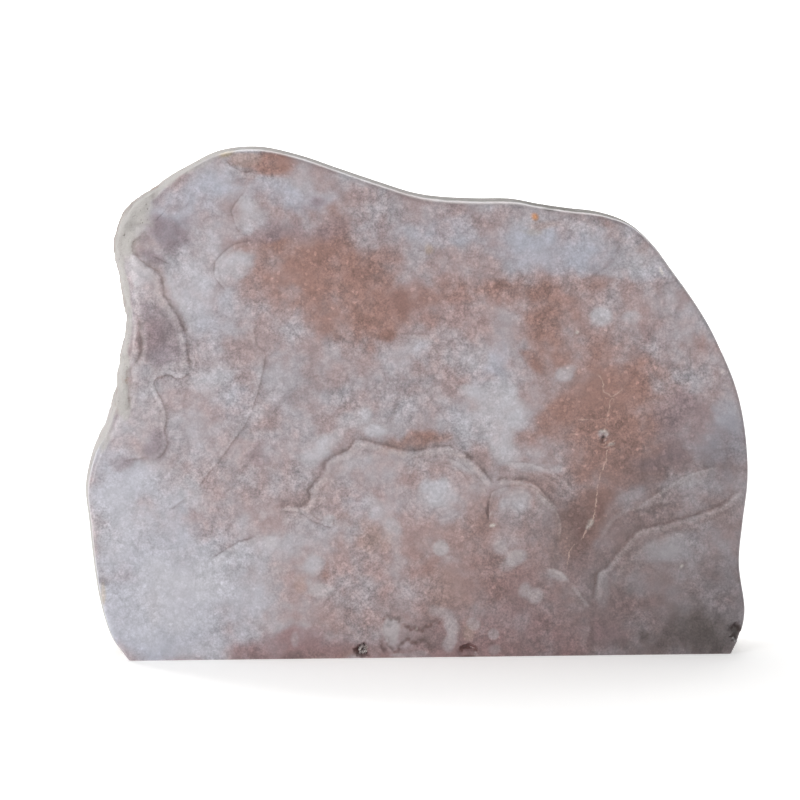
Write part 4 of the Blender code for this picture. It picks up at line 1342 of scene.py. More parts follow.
@dataclass(frozen=True)
class PolishedPinkQuartz:
    """Massive quartz and chalcedony, lapped and polished on the front and rims.

    The eye gets a soft glassy sheen over a cloudy, fine-grained body: lilac-grey where it
    is clean, terracotta where iron stained it, milky where it is full of fluid specks.
    """

    name: str = "polished_pink_quartz"
    lilac_grey: str = "#B0ABB1"
    pink_grey: str = "#A89697"
    seam_brown: str = "#6B5957"
    band_and_highlight_pale: str = "#CFC7C6"
    cream: str = "#CBAFA3"
    rind_light: str = "#B2AEAB"
    rind_grey: str = "#9C9895"
    rind_rust: str = "#947B6C"
    rind_earth: str = "#7D6A5C"
    rind_lichen: str = "#827C78"
    weathered: str = "#FBF4F0"
    rind_speck: str = "#5A544E"
    film_grey: str = "#6F6B64"
    sawn_pale: str = "#BDB3B2"

    # Sizes of the textures, in mm.
    grain: float = 0.55  # the sugary grain of the quartz
    mottle: float = 3.2  # clouds of fluid specks
    cloud: float = 9.0  # broad changes of tint
    cell: float = 2.6  # round cells of the chalcedony
    small_cell: float = 1.092
    flow: float = 26.0  # sweep of its faint flow lines
    calm: float = 13.0  # stretches where the texture is calm or strong
    bend: float = 2.2222  # waves that bend cells and flow lines
    bend_most: float = 3.2
    fleck: float = 0.8696  # single bright grains
    seam_waver: float = 1.8182  # the waver of a seam
    seam_break: float = 3.5714  # the stretches where it is faint
    crack_waver: float = 1.1111
    bead: float = 1.3333  # runs of cream in the healed crack
    weather: float = 30.0  # stretches of earth, grey and bare stone on the back
    crust: float = 9.0909  # patches of the rind's tone
    speck: float = 1.1765  # dark specks and pits of the rind
    saw_pitch: float = 0.8976  # from one cut of the saw to the next

    flow_lines: float = 36.0
    ring_shade: float = 0.05  # how much the eyes' rings lighten and darken the stone
    seam_shade: float = 0.88
    band_shade: float = 0.5
    ior: float = 1.544  # quartz
    polish: float = 0.30  # roughness of the lapped faces
    polish_spread: Span = (-0.05, 0.09)
    skin: float = 0.82  # roughness of the natural rind

    # Along 16 half widths across a seam: place, brown seam, pale band.
    profile: tuple[tuple[float, float, float], ...] = (
        (0.0, 0.0, 0.0), (0.20, 0.06, 0.0), (0.36, 0.20, 0.0), (0.43, 0.44, 0.0),
        (0.462, 0.66, 0.0), (0.474, 0.88, 0.0), (0.502, 0.88, 0.0), (0.518, 0.52, 0.0),
        (0.545, 0.16, 0.3), (0.585, 0.0, 0.8), (0.66, 0.04, 0.5), (0.72, 0.24, 0.12),
        (0.79, 0.04, 0.25), (1.0, 0.0, 0.0),
    )
    profile_reach: float = 8.0  # half widths to each side

    def build(self) -> bpy.types.Material:
        """Make the material with its whole node tree.

        Returns:
            The material.
        """
        material, shader = new_finish(self.name)
        add = NodeSheet(material.node_tree).add
        place = add("TexCoord", out="Object")
        mm = add("VectorMath MULTIPLY", {0: place, 1: (1 / MM, 1 / MM, 1 / MM)})
        noises = [add("TexNoise", {"Vector": mm, "Scale": 1 / size, "Detail": detail,
                                   "Roughness": rough})
                  for size, detail, rough in ((self.grain, 3.0, 0.65), (self.mottle, 5.0, 0.62),
                                              (self.cloud, 2.5, 0.55))]
        look = QuartzSheet(material.node_tree, mm, *noises)
        colour = self.body(look)
        colour, shares = self.stains(look, colour)
        colour = self.eyes(look, colour)
        colour, seam = self.seams(look, colour)
        colour = self.grains(look, colour, shares)
        colour = self.healed(look, colour)
        colour, rind, bump = self.skins(look, colour, seam)

        smoothest, dullest = (self.polish + spread for spread in self.polish_spread)
        rough = add("MapRange", {0: look.clouds, 3: smoothest, 4: dullest})
        rough = add("Mix", {0: rind, 2: rough, 3: self.skin})
        normal = add("Bump", {"Height": bump, "Distance": MM, "Strength": 1.0})
        shader.inputs["IOR"].default_value = self.ior
        for name, socket in (("Base Color", colour), ("Roughness", rough), ("Normal", normal)):
            material.node_tree.links.new(socket, shader.inputs[name])
        return material

    def body(self, look: QuartzSheet) -> Socket:
        """Clean quartz, lilac-grey that drifts to pink-grey.

        Args:
            look: the sheet and its textures.

        Returns:
            Its colour.
        """
        add = look.add
        drift = add("Math MULTIPLY_ADD", {0: look.clouds, 1: 0.16, 2: look.tint})
        share = add("MapRange", {0: drift, 1: 0.36, 2: 0.80}, **SMOOTH)
        return add("Mix", {0: share, 6: self.lilac_grey, 7: self.pink_grey}, **COLOURS)

    def stains(self, look: QuartzSheet, colour: Socket) -> tuple[Socket, dict[Mineral, Socket]]:
        """Each mineral laid over the body, with an edge that the clouds break up.

        Args:
            look: the sheet and its textures.
            colour: the colour of the clean quartz.

        Returns:
            The stained colour, and the share of each mineral.
        """
        add = look.add
        shares: dict[Mineral, Socket] = {}
        ragged = add("Math MULTIPLY_ADD", {0: look.clouds, 1: 0.34, 2: -0.17})
        ragged = add("Math MULTIPLY_ADD", {0: look.tint, 1: 1.5, 2: ragged})
        ragged = add("Math SUBTRACT", {0: ragged, 1: 0.75})
        for attribute, minerals in STAIN_ORDER.items():
            stored = add("Attribute", out="Vector", attribute_name=attribute)
            parts = add("SeparateXYZ", {0: stored}).node.outputs
            for part, mineral in zip(parts, minerals):
                shade, fray = mineral.value
                share = add("Math MULTIPLY_ADD", {0: ragged, 1: fray, 2: part})
                share = add("MapRange", {0: share, 1: 0.0, 2: 1.15}, **SMOOTH)
                held = add("Math MULTIPLY", {0: part, 1: 3.0}, use_clamp=True)
                share = add("Math MULTIPLY", {0: share, 1: held})
                colour = add("Mix", {0: share, 6: colour, 7: shade}, **COLOURS)
                shares[mineral] = share
        return colour, shares

    def eyes(self, look: QuartzSheet, colour: Socket) -> Socket:
        """Faint rings of the agate eyes.

        Args:
            look: the sheet and its textures.
            colour: the colour so far.

        Returns:
            The colour with the rings.
        """
        add = look.add
        stored = add("Attribute", out="Vector", attribute_name="eyes")
        parts = add("SeparateXYZ", {0: stored}).node.outputs
        turn = add("Math MULTIPLY_ADD", {0: look.clouds, 1: 0.9, 2: parts[0]})
        wave = add("Math MULTIPLY", {0: turn, 1: 2 * math.pi})
        wave = add("Math SINE", {0: wave})
        lift = add("Math MULTIPLY", {0: wave, 1: parts[1]})
        lift = add("Math MULTIPLY_ADD", {0: lift, 1: self.ring_shade, 2: 1.0})
        return add("VectorMath SCALE", {0: colour, "Scale": lift})

    def seams(self, look: QuartzSheet, colour: Socket) -> tuple[Socket, Socket]:
        """Brown seams with their pale bands.

        Args:
            look: the sheet and its textures.
            colour: the colour under the seams.

        Returns:
            The colour with the seams, and how dark the seams are, for the relief.
        """
        add = look.add
        wobble = add("TexNoise", {"Vector": look.mm, "Scale": 1 / self.seam_waver,
                                  "Detail": 3.0, "Roughness": 0.6})
        wobble = add("Math SUBTRACT", {0: wobble, 1: 0.5})
        breaks = add("TexNoise", {"Vector": look.mm, "Scale": 1 / self.seam_break, "Detail": 2.0})
        breaks = add("MapRange", {0: breaks, 1: 0.34, 2: 0.6, 3: 0.45, 4: 1.0})
        stops = tuple((place, (dark, pale, 0.0, 1.0)) for place, dark, pale in self.profile)
        dark: Socket | None = None
        pale: Socket | None = None
        for k in range(StonePattern.layers):
            stored = add("Attribute", out="Vector", attribute_name=f"seams_{k}")
            parts = add("SeparateXYZ", {0: stored}).node.outputs
            near = add("Math MULTIPLY_ADD", {0: wobble, 1: 2.3, 2: parts[0]})
            near = add("MapRange", {0: near, 1: -self.profile_reach, 2: self.profile_reach})
            shares = add("ValToRGB", {0: near}, stops=stops)
            shares = add("SeparateColor", {0: shares}).node.outputs
            this_dark = add("Math MULTIPLY", {0: shares[0], 1: parts[1]})
            this_pale = add("Math MULTIPLY", {0: shares[1], 1: parts[2]})
            dark = this_dark if dark is None else add("Math MAXIMUM", {0: dark, 1: this_dark})
            pale = this_pale if pale is None else add("Math MAXIMUM", {0: pale, 1: this_pale})
        dark = add("Math MULTIPLY", {0: dark, 1: breaks})
        for part, most, shade in ((pale, self.band_shade, self.band_and_highlight_pale),
                                  (dark, self.seam_shade, self.seam_brown)):
            held = add("Math MULTIPLY", {0: part, 1: most})
            colour = add("Mix", {0: held, 6: colour, 7: shade}, **COLOURS)
        return colour, dark

    def grains(self, look: QuartzSheet, colour: Socket, shares: dict[Mineral, Socket]) -> Socket:
        """The sugary grain, round cells as in chalcedony, flow lines and bright flecks.

        Args:
            look: the sheet and its textures.
            colour: the colour so far.
            shares: how much of each mineral there is; the milky ones hide the grain.

        Returns:
            The colour with its texture.
        """
        add = look.add
        lift = add("MapRange", {0: look.grain, 1: 0.3, 2: 0.7, 3: 0.79, 4: 1.21})
        cloud = add("MapRange", {0: look.clouds, 1: 0.3, 2: 0.7, 3: 0.925, 4: 1.075})
        lift = add("Math MULTIPLY", {0: lift, 1: cloud})
        bend = add("TexNoise", {"Vector": look.mm, "Scale": 1 / self.bend, "Detail": 3.0},
                   out="Color")
        bent = add("VectorMath MULTIPLY_ADD", {0: bend, 1: (self.bend_most,) * 3, 2: look.mm})
        for size, low, high in ((self.cell, 1.05, 0.88), (self.small_cell, 1.03, 0.935)):
            cells = add("TexVoronoi", {"Vector": bent, "Scale": 1 / size}, out="Distance")
            ring = add("MapRange", {0: cells, 1: 0.30, 2: 0.72, 3: low, 4: high}, **SMOOTH)
            lift = add("Math MULTIPLY", {0: lift, 1: ring})
        flow = add("TexNoise", {"Vector": bent, "Scale": 1 / self.flow, "Detail": 1.0})
        flow = add("Math MULTIPLY", {0: flow, 1: self.flow_lines})
        flow = add("Math SINE", {0: flow})
        line = add("MapRange", {0: flow, 1: 0.55, 2: 1.0, 3: 1.015, 4: 0.94}, **SMOOTH)
        lift = add("Math MULTIPLY", {0: lift, 1: line})
        calm = add("TexNoise", {"Vector": look.mm, "Scale": 1 / self.calm, "Detail": 2.0})
        calm = add("MapRange", {0: calm, 1: 0.35, 2: 0.65, 3: 0.55, 4: 1.38})
        milky = add("Math MAXIMUM", {0: shares[Mineral.BLUE], 1: shares[Mineral.MILK_AND_HIGHLIGHT]})
        milky = add("Math MAXIMUM", {0: milky, 1: shares[Mineral.OPAL]})
        clear = add("Math MULTIPLY_ADD", {0: milky, 1: -0.5, 2: 1.12})
        calm = add("Math MULTIPLY", {0: calm, 1: clear})
        lift = add("Math SUBTRACT", {0: lift, 1: 1.0})
        lift = add("Math MULTIPLY_ADD", {0: lift, 1: calm, 2: 1.0})
        colour = add("VectorMath SCALE", {0: colour, "Scale": lift})
        cell = add("TexVoronoi", {"Vector": look.mm, "Scale": 1 / self.fleck}, out="Color")
        pick = add("SeparateColor", {0: cell})
        rusty = add("Math MULTIPLY_ADD", {0: shares[Mineral.RUST], 1: 0.3, 2: 1.14})
        fleck = add("MapRange", {0: pick, 1: 0.90, 2: 1.0, 3: 1.0, 4: rusty})
        return add("VectorMath SCALE", {0: colour, "Scale": fleck})

    def healed(self, look: QuartzSheet, colour: Socket) -> Socket:
        """Cream chalcedony in the healed crack, broken into short runs and crumbs.

        Args:
            look: the sheet and its textures.
            colour: the colour so far.

        Returns:
            The colour with the crack.
        """
        add = look.add
        stored = add("Attribute", out="Vector", attribute_name="healed")
        parts = add("SeparateXYZ", {0: stored}).node.outputs
        wobble = add("TexNoise", {"Vector": look.mm, "Scale": 1 / self.crack_waver,
                                  "Detail": 3.0, "Roughness": 0.7})
        wobble = add("Math SUBTRACT", {0: wobble, 1: 0.5})
        near = add("Math MULTIPLY_ADD", {0: wobble, 1: 4.5, 2: parts[0]})
        near = add("Math ABSOLUTE", {0: near})
        share = add("MapRange", {0: near, 1: 0.05, 2: 0.9, 3: 0.95, 4: 0.0})
        share = add("Math MULTIPLY", {0: share, 1: parts[2]})
        beads = add("TexNoise", {"Vector": look.mm, "Scale": 1 / self.bead, "Detail": 2.0})
        beads = add("MapRange", {0: beads, 1: 0.38, 2: 0.62, 3: 0.05, 4: 1.0})
        share = add("Math MULTIPLY", {0: share, 1: beads})
        return add("Mix", {0: share, 6: colour, 7: self.cream}, **COLOURS)

    def skins(self, look: QuartzSheet, colour: Socket, seam: Socket) -> tuple[Socket, Socket, Socket]:
        """The natural rind, painted hollow shade, a painted arris highlight, the sawn base and all
        relief.

        Args:
            look: the sheet and its textures.
            colour: the colour of the polished stone.
            seam: how dark the seams are.

        Returns:
            The finished colour, how rough the skin is, and the relief in mm.
        """
        add = look.add
        stored = add("Attribute", out="Vector", attribute_name="skin")
        covered, sawn, scar = add("SeparateXYZ", {0: stored}).node.outputs
        edge = add("Math MULTIPLY_ADD", {0: look.clouds, 1: 0.9, 2: -0.45})
        edge = add("Math ADD", {0: edge, 1: covered})
        rind = add("MapRange", {0: edge, 1: 0.18, 2: 0.80}, **SMOOTH)
        held = add("Math MULTIPLY", {0: covered, 1: 4.0}, use_clamp=True)
        rind = add("Math MULTIPLY", {0: rind, 1: held})
        stored = add("Attribute", out="Vector", attribute_name="wear")
        hollow, near_rim = add("SeparateXYZ", {0: stored}).node.outputs[:2]
        hidden = add("Math SUBTRACT", {0: 1.0, 1: near_rim})
        weather = add("TexNoise", {"Vector": look.mm, "Scale": 1 / self.weather, "Detail": 5.0,
                                   "Roughness": 0.6}, out="Color")
        earth, lichen, bare = add("SeparateColor", {0: weather}).node.outputs
        bare = add("MapRange", {0: bare, 1: 0.50, 2: 0.66, 3: 0.0, 4: 0.75}, **SMOOTH)
        bare = add("Math MULTIPLY", {0: bare, 1: hidden})
        bare = add("Math SUBTRACT", {0: 1.0, 1: bare})
        rind = add("Math MULTIPLY", {0: rind, 1: bare})

        crust = add("TexNoise", {"Vector": look.mm, "Scale": 1 / self.crust, "Detail": 6.0,
                                 "Roughness": 0.65})
        tone = add("ValToRGB", {0: crust}, stops=(
            (0.30, self.rind_grey), (0.45, self.rind_light),
            (0.60, self.rind_light), (0.72, self.rind_rust)))
        speck = add("TexNoise", {"Vector": look.mm, "Scale": 1 / self.speck, "Detail": 4.0,
                                 "Roughness": 0.75})
        dots = add("MapRange", {0: speck, 1: 0.60, 2: 0.70}, **SMOOTH)
        tone = add("Mix", {0: dots, 6: tone, 7: self.rind_speck}, **COLOURS)
        for share, low, high, shade in ((earth, 0.46, 0.64, self.rind_earth),
                                        (lichen, 0.48, 0.66, self.rind_lichen)):
            share = add("MapRange", {0: share, 1: low, 2: high, 3: 0.0, 4: 0.62}, **SMOOTH)
            share = add("Math MULTIPLY", {0: share, 1: hidden})
            tone = add("Mix", {0: share, 6: tone, 7: shade}, **COLOURS)
        # Painted shade: the rind is darker where the hollows of its skin are deeper.
        hollow_shade = add("MapRange", {0: hollow, 1: 0.2, 2: 2.4, 3: 1.05, 4: 0.88})
        tone = add("VectorMath SCALE", {0: tone, "Scale": hollow_shade})
        tone = add("Mix", {0: hidden, 6: tone, 7: self.weathered}, **COLOURS, blend_type="MULTIPLY")
        lift = add("MapRange", {0: look.grain, 1: 0.3, 2: 0.7, 3: 0.90, 4: 1.10})
        tone = add("VectorMath SCALE", {0: tone, "Scale": lift})
        stored = add("Attribute", out="Vector", attribute_name="edges")
        film, matrix, arris = add("SeparateXYZ", {0: stored}).node.outputs
        film = add("Math MULTIPLY", {0: film, 1: 0.8})
        tone = add("Mix", {0: film, 6: tone, 7: self.film_grey}, **COLOURS)
        grit = add("MapRange", {0: speck, 1: 0.38, 2: 0.62})
        grit = add("Math MULTIPLY", {0: grit, 1: matrix})
        tone = add("Mix", {0: grit, 6: tone, 7: self.rind_speck}, **COLOURS)
        colour = add("Mix", {0: rind, 6: colour, 7: tone}, **COLOURS)

        crack = add("Math MULTIPLY", {0: seam, 1: rind})
        crack = add("Math MULTIPLY", {0: crack, 1: near_rim})
        # Seams in the rind, a painted highlight along the crest's arris, and the paler sawn base.
        for part, most, shade in ((crack, 0.8, self.seam_brown), (arris, 0.55, self.band_and_highlight_pale),
                                  (sawn, 0.45, self.sawn_pale)):
            held = add("Math MULTIPLY", {0: part, 1: most})
            colour = add("Mix", {0: held, 6: colour, 7: shade}, **COLOURS)
        rough = add("Math MULTIPLY_ADD", {0: sawn, 1: 0.55, 2: rind})
        rough = add("Math MULTIPLY_ADD", {0: scar, 1: 0.35, 2: rough}, use_clamp=True)
        return colour, rough, self.relief(look, (seam, rind, sawn, speck))

    def relief(self, look: QuartzSheet, parts: tuple[Socket, ...]) -> Socket:
        """The fine relief: pitted rind, sunk seams, saw cuts and the grain.

        Args:
            look: the sheet and its textures.
            parts: the shares of seam, rind and sawn face, and the noise of the specks.

        Returns:
            The height of the surface, in mm.
        """
        add = look.add
        seam, rind, sawn, speck = parts
        # The wave node's bands repeat every 2 pi / 20 of its scaled place.
        saw = add("TexWave", {"Vector": look.mm, "Scale": 2 * math.pi / (20 * self.saw_pitch),
                              "Distortion": 1.5, "Detail": 2.0}, out="Fac", bands_direction="X")
        cuts = add("Math MULTIPLY", {0: saw, 1: sawn})
        pitted = add("Math MULTIPLY", {0: speck, 1: -0.15})
        pitted = add("Math MULTIPLY_ADD", {0: look.grain, 1: 0.05, 2: pitted})
        height = add("Math MULTIPLY", {0: pitted, 1: rind})
        for part, most in ((seam, -0.05), (cuts, 0.03), (look.grain, 0.012)):
            height = add("Math MULTIPLY_ADD", {0: part, 1: most, 2: height})
        return height


@dataclass(frozen=True)
class ClearQuartz:
    """Small clear quartz points in an open pit: glassy, with bright glints."""

    name: str = "clear_quartz_points"
    tint: str = "#E4DEDA"
    shade: str = "#B9AEAC"
    cloud: float = 1.1111  # mm, veils inside the points
    roughness: float = 0.08
    see_through: float = 0.25
    ior: float = 1.544

    def build(self) -> bpy.types.Material:
        """Make the material.

        Returns:
            The material.
        """
        material, shader = new_finish(self.name)
        add = NodeSheet(material.node_tree).add
        place = add("TexCoord", out="Object")
        cloud = add("TexNoise", {"Vector": place, "Scale": 1 / (self.cloud * MM), "Detail": 3.0})
        tone = add("ValToRGB", {0: cloud}, stops=((0.35, self.shade), (0.6, self.tint)))
        material.node_tree.links.new(tone, shader.inputs["Base Color"])
        shader.inputs["Roughness"].default_value = self.roughness
        shader.inputs["IOR"].default_value = self.ior
        shader.inputs["Transmission Weight"].default_value = self.see_through
        return material


# ---- the pieces

@dataclass(frozen=True)
class Stone:
    """The slab itself, built from its form and marked with its pattern."""

    form: SlabForm
    pattern: StonePattern
    finish: PolishedPinkQuartz
    name: str = "rose_quartz_stone"
    crust_depth: float = 0.62  # mm, how far the rind's hollows go in
    hollow_size: float = 7.0  # mm, across a hollow
    pock_size: float = 2.2  # mm, across the pocks in it
    flake_size: float = 11.0  # mm, across the shallow bowls of its back
    flake_depth: float = 3.0  # mm, how far they go in
    flake_bend: float = 0.35  # how far the ridges between them waver
    ridge_slope: float = 1.6
    scar_calm: float = 0.75  # how much smoother a flake scar is
    front_band: float = 2.5  # mm behind the front face that the pits press in
    sharp_angle: float = 38.0  # degrees

    def build(self) -> bpy.types.Object:
        """Build, mark and dress the stone, and stand it in for its solid.

        Returns:
            The stone as one piece.
        """
        raw, faces = self.form.solid()
        low, high = raw.min(axis=0), raw.max(axis=0)
        centre = np.array([(low[0] + high[0]) / 2, (low[1] + high[1]) / 2, low[2]])
        points = raw - centre
        low, high = points.min(axis=0), points.max(axis=0)
        box = np.array([list(corner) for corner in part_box(NODE)]) / MM
        points = box[0] + (points - low) * (box[1] - box[0]) / (high - low)
        self.sink_front(points, raw)
        mesh = shaped(self.name, (points * MM).tolist(), faces.tolist())
        hollow = self.roughen(mesh, raw)
        self.pattern.write(mesh, self.form, raw, hollow)
        mesh.shade_smooth()
        mesh.set_sharp_from_angle(angle=math.radians(self.sharp_angle))
        mesh.materials.append(self.finish.build())
        stone = placed(self.name, mesh)
        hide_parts(NODE)
        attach(stone, BODY)
        return stone

    def sink_front(self, points: Array, raw: Array) -> None:
        """Press the pits and grooves into the front face and its rim.

        Args:
            points: the vertices in mm, which are moved.
            raw: the same vertices in the form's own mm.
        """
        front = np.nonzero(raw[:, 1] < self.front_band)[0]
        sink = self.form.relief(points[front])
        above_cut = raw[front, 2] > 0.01
        keep = ease(self.front_band - raw[front, 1], 0.0, 1.5) * above_cut
        points[front, 1] += sink * keep

    def flaked(self, points: Array) -> Array:
        """Shallow bowls with crisp ridges between them.

        Args:
            points: points of the skin, in mm.

        Returns:
            From 0 on a ridge to 1 in a bowl.
        """
        out = []
        for p in points:
            place = Vector(p) / self.flake_size
            bend = noise.noise_vector(place * 1.7)
            near = noise.voronoi(place + bend * self.flake_bend)[0]
            out.append(min((near[1] - near[0]) * self.ridge_slope, 1.0) * (1.0 - 0.6 * near[0]))
        return np.clip(np.array(out), 0.0, 1.0)

    def roughen(self, mesh: bpy.types.Mesh, raw: Array) -> Array:
        """Give the natural skin its hollows, cut inwards from the smooth form.

        Args:
            mesh: the stone's mesh, in metres.
            raw: the same vertices in the form's own mm.

        Returns:
            How deep the skin was cut at each vertex, in mm.
        """
        normals = read_vectors(mesh.vertex_normals, "vector")
        points = read_vectors(mesh.vertices, "co")
        behind = self.form.back_y(raw[:, 0], raw[:, 2])
        far = ease(raw[:, 1] / behind, 0.35, 0.85)
        skin = np.maximum(far, self.form.rind_share(raw[:, 0], raw[:, 2])
                          * ease(raw[:, 1], 0.5, 3.0))
        skin = skin * ease(raw[:, 2], 0.0, 2.0)
        fresh = 1.0 - self.scar_calm * self.form.scar_share(raw[:, 0], raw[:, 2]) * far
        work = np.nonzero(skin > 0.01)[0]
        coarse = roughness_at(raw[work], self.hollow_size)
        small = roughness_at(raw[work], self.pock_size, 2)
        depth = self.crust_depth * np.clip(0.5 + 0.9 * coarse + 0.45 * small, 0.0, 2.0)
        depth += self.flake_depth * self.flaked(raw[work]) * (0.35 + 0.65 * far[work])
        hollow = np.zeros(len(points))
        hollow[work] = depth * skin[work] * fresh[work]
        points -= normals * (hollow * MM)[:, None]
        mesh.vertices.foreach_set("co", points.ravel())
        mesh.update()
        return hollow


@dataclass(frozen=True)
class PitCrystals:
    """Quartz points that line the open pit on the base edge, all sizes in mm."""

    finish: ClearQuartz
    name: str = "pit_crystals"
    centre: Span = (-17.1, 2.4)
    spread: float = 1.5
    bowl_radius: float = 2.0
    bowl_depth: float = 2.3
    rooted: float = 0.15  # how deep a foot stands in the wall of the pit
    radii: Span = (0.22, 0.42)
    lengths: Span = (0.7, 1.25)
    shoulder: float = 0.62  # of its length, where a point's tip starts
    outward: float = 1.6
    inward: float = 0.5
    sway: float = 0.35
    count: int = 26
    seed: int = 7

    def prism(self, foot: Array, lean: Vector, radius: float, length: float
              ) -> tuple[list[Vector], list[tuple[int, ...]]]:
        """One six-sided quartz point.

        Args:
            foot: the middle of its foot, in mm.
            lean: the way it points.
            radius: from its axis to an edge, in mm.
            length: from its foot to its tip, in mm.

        Returns:
            Its vertices in metres and its faces.
        """
        turn = lean.to_track_quat("Z", "Y").to_matrix()
        angles = [k * math.pi / 3 for k in range(6)]
        rows = [Vector((radius * math.cos(a), radius * math.sin(a), height))
                for height in (0.0, length * self.shoulder) for a in angles]
        rows.append(Vector((0.0, 0.0, length)))
        verts = [(turn @ p + Vector(foot)) * MM for p in rows]
        sides = [(k, (k + 1) % 6, 6 + (k + 1) % 6, 6 + k) for k in range(6)]
        tips = [(6 + k, 6 + (k + 1) % 6, 12) for k in range(6)]
        return verts, sides + tips + [tuple(reversed(range(6)))]

    def build(self, front_y: float) -> bpy.types.Object:
        """Build the crystals in their pit.

        Args:
            front_y: where the front face lies, in mm.

        Returns:
            The crystals as one piece.
        """
        rng = np.random.default_rng(self.seed)
        verts: list[Vector] = []
        faces: list[tuple[int, ...]] = []
        for _ in range(self.count):
            angle, r = rng.uniform(0, 2 * math.pi), self.spread * math.sqrt(rng.uniform(0.05, 1))
            deep = self.bowl_depth * math.sqrt(max(1 - (r / self.bowl_radius) ** 2, 0.05))
            foot = np.array([self.centre[0] + r * math.cos(angle), front_y + deep + self.rooted,
                             self.centre[1] + 0.1 + r * math.sin(angle) * 0.95])
            lean = Vector((-math.cos(angle) * self.inward * r, -self.outward,
                           -math.sin(angle) * self.inward * r))
            lean += Vector(rng.uniform(-self.sway, self.sway, 3))
            part, sides = self.prism(foot, lean.normalized(), rng.uniform(*self.radii),
                                     rng.uniform(*self.lengths))
            faces += [tuple(k + len(verts) for k in side) for side in sides]
            verts += part
        mesh = shaped(self.name, verts, faces)
        mesh.materials.append(self.finish.build())
        piece = placed(self.name, mesh)
        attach(piece, BODY)
        return piece


# ---- the studio

@dataclass(frozen=True)
class SoftLight:
    """One soft box: where it stands and what it looks at, in metres, its size and watts."""

    name: str
    place: tuple[float, float, float]
    aim: tuple[float, float, float]
    size: float
    watts: float

    def build(self) -> None:
        """Add the light to the scene."""
        light = bpy.data.lights.new(self.name, "AREA")
        light.shape = "DISK"
        light.size, light.energy = self.size, self.watts
        lamp = placed(self.name, light)
        lamp.location = self.place
        aim = Vector(self.aim) - Vector(self.place)
        lamp.rotation_euler = aim.to_track_quat("-Z", "Y").to_euler()
        lamp.visible_camera = False


@dataclass(frozen=True)
class Backdrop:
    """A plain matt sheet of the studio that gives some light of its own."""

    name: str
    finish: str
    glow: float
    corners: tuple[tuple[float, float, float], ...]
    tone: str = "#FAFAF9"
    roughness: float = 0.9

    def build(self) -> bpy.types.Object:
        """Build the sheet and its finish.

        Returns:
            The sheet, four corners and one face.
        """
        mesh = shaped(self.name, self.corners, [tuple(range(len(self.corners)))])
        material, shader = new_finish(self.finish)
        for name, value in (("Base Color", linear(self.tone)), ("Roughness", self.roughness),
                            ("Emission Color", (1.0, 1.0, 1.0, 1.0)),
                            ("Emission Strength", self.glow)):
            shader.inputs[name].default_value = value
        mesh.materials.append(material)
        return placed(self.name, mesh)


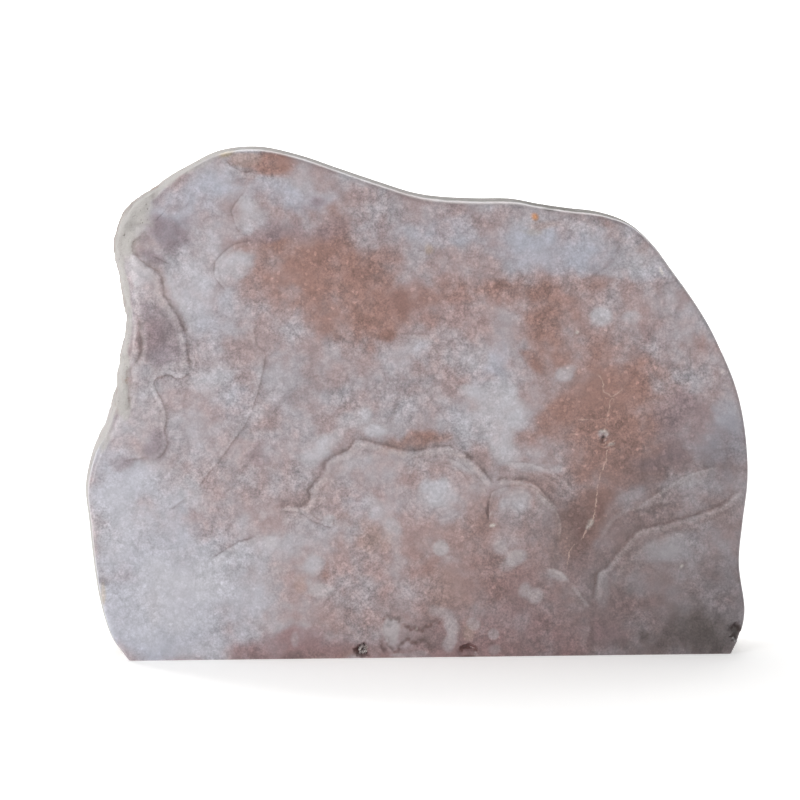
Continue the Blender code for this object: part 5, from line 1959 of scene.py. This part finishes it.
@dataclass(frozen=True)
class Studio:
    """A pale floor before a glowing screen, soft boxes on all sides, and the camera.

    Sizes are in metres and angles in degrees.
    """

    sky: float = 0.33
    floor_size: float = 12.0
    wall_distance: float = 1.7
    wall_height: float = 4.0
    wall_glow: float = 0.85
    floor_glow: float = 0.36
    target: tuple[float, float, float] = (-0.0048, 0.0, 0.0752)
    azimuth: float = -4.0
    elevation: float = 4.0
    distance: float = 0.8
    frame_width: float = 0.2424  # across the picture, at the target
    sensor_width: float = 36.0  # mm
    lights: tuple[SoftLight, ...] = (
        SoftLight("key", (-0.52, -0.52, 0.20), (-0.09, 0.0, 0.05), 0.4, 2.05),
        SoftLight("fill", (0.95, -0.95, 0.45), (0.0, 0.0, 0.07), 1.0, 0.645),
        SoftLight("top", (-0.1, 0.15, 1.3), (0.0, 0.0, 0.08), 1.0, 3.42),
        SoftLight("back_left", (-0.9, 0.8, 0.7), (0.0, 0.0, 0.07), 0.3, 4.4),
        SoftLight("back_right", (0.9, 1.0, 0.8), (0.0, 0.0, 0.07), 0.9, 0.5),
        SoftLight("floor_wash", (0.0, 1.25, 1.5), (0.0, 1.15, 0.0), 1.6, 12.0),
    )

    def build(self) -> None:
        """Add floor, world, lights and camera."""
        self.floor()
        self.wall()
        self.world()
        for light in self.lights:
            light.build()
        self.camera()
        bpy.context.scene.view_settings.view_transform = "Standard"

    def floor(self) -> None:
        """A plain pale floor."""
        half = self.floor_size / 2
        corners = ((-half, -half, 0), (half, -half, 0), (half, half, 0), (-half, half, 0))
        floor = Backdrop("floor", "matt_pale_floor", self.floor_glow, corners).build()

    def wall(self) -> None:
        """A glowing screen behind the slab, which doesn't light it."""
        half, y, top = self.floor_size / 2, self.wall_distance, self.wall_height
        corners = ((-half, y, 0), (half, y, 0), (half, y, top), (-half, y, top))
        wall = Backdrop("wall", "glowing_screen", self.wall_glow, corners).build()
        wall.visible_diffuse = False

    def world(self) -> None:
        """Even white light from all round."""
        world = bpy.data.worlds.new("studio")
        world.use_nodes = True
        back = world.node_tree.nodes["Background"]
        back.inputs["Color"].default_value = (1.0, 1.0, 1.0, 1.0)
        back.inputs["Strength"].default_value = self.sky
        bpy.context.scene.world = world

    def camera(self) -> None:
        """The camera, a long lens from slightly left and above."""
        a, e = math.radians(self.azimuth), math.radians(self.elevation)
        back = Vector((math.sin(a) * math.cos(e), -math.cos(a) * math.cos(e), math.sin(e)))
        data = bpy.data.cameras.new("camera")
        data.sensor_width = self.sensor_width
        data.lens = data.sensor_width * self.distance / self.frame_width
        eye = placed("camera", data)
        eye.location = Vector(self.target) + back * self.distance
        eye.rotation_euler = (-back).to_track_quat("-Z", "Y").to_euler()
        bpy.context.scene.camera = eye


# ---- the build

def main() -> None:
    """Build the stone, its crystals and the studio, in that order."""
    logging.basicConfig(level=logging.INFO, format="%(name)s: %(message)s")
    noise.seed_set(NOISE_SEED)
    stone = Stone(SlabForm(), StonePattern(), PolishedPinkQuartz()).build()
    log.info("%s: %d vertices, %d faces", stone.name, len(stone.data.vertices),
             len(stone.data.polygons))
    crystals = PitCrystals(ClearQuartz()).build(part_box(NODE)[0][1] / MM)
    log.info("%s: %d faces", crystals.name, len(crystals.data.polygons))
    Studio().build()
    log.info("studio: floor, %d lights and camera", len(Studio.lights))


if __name__ == "__main__":
    main()
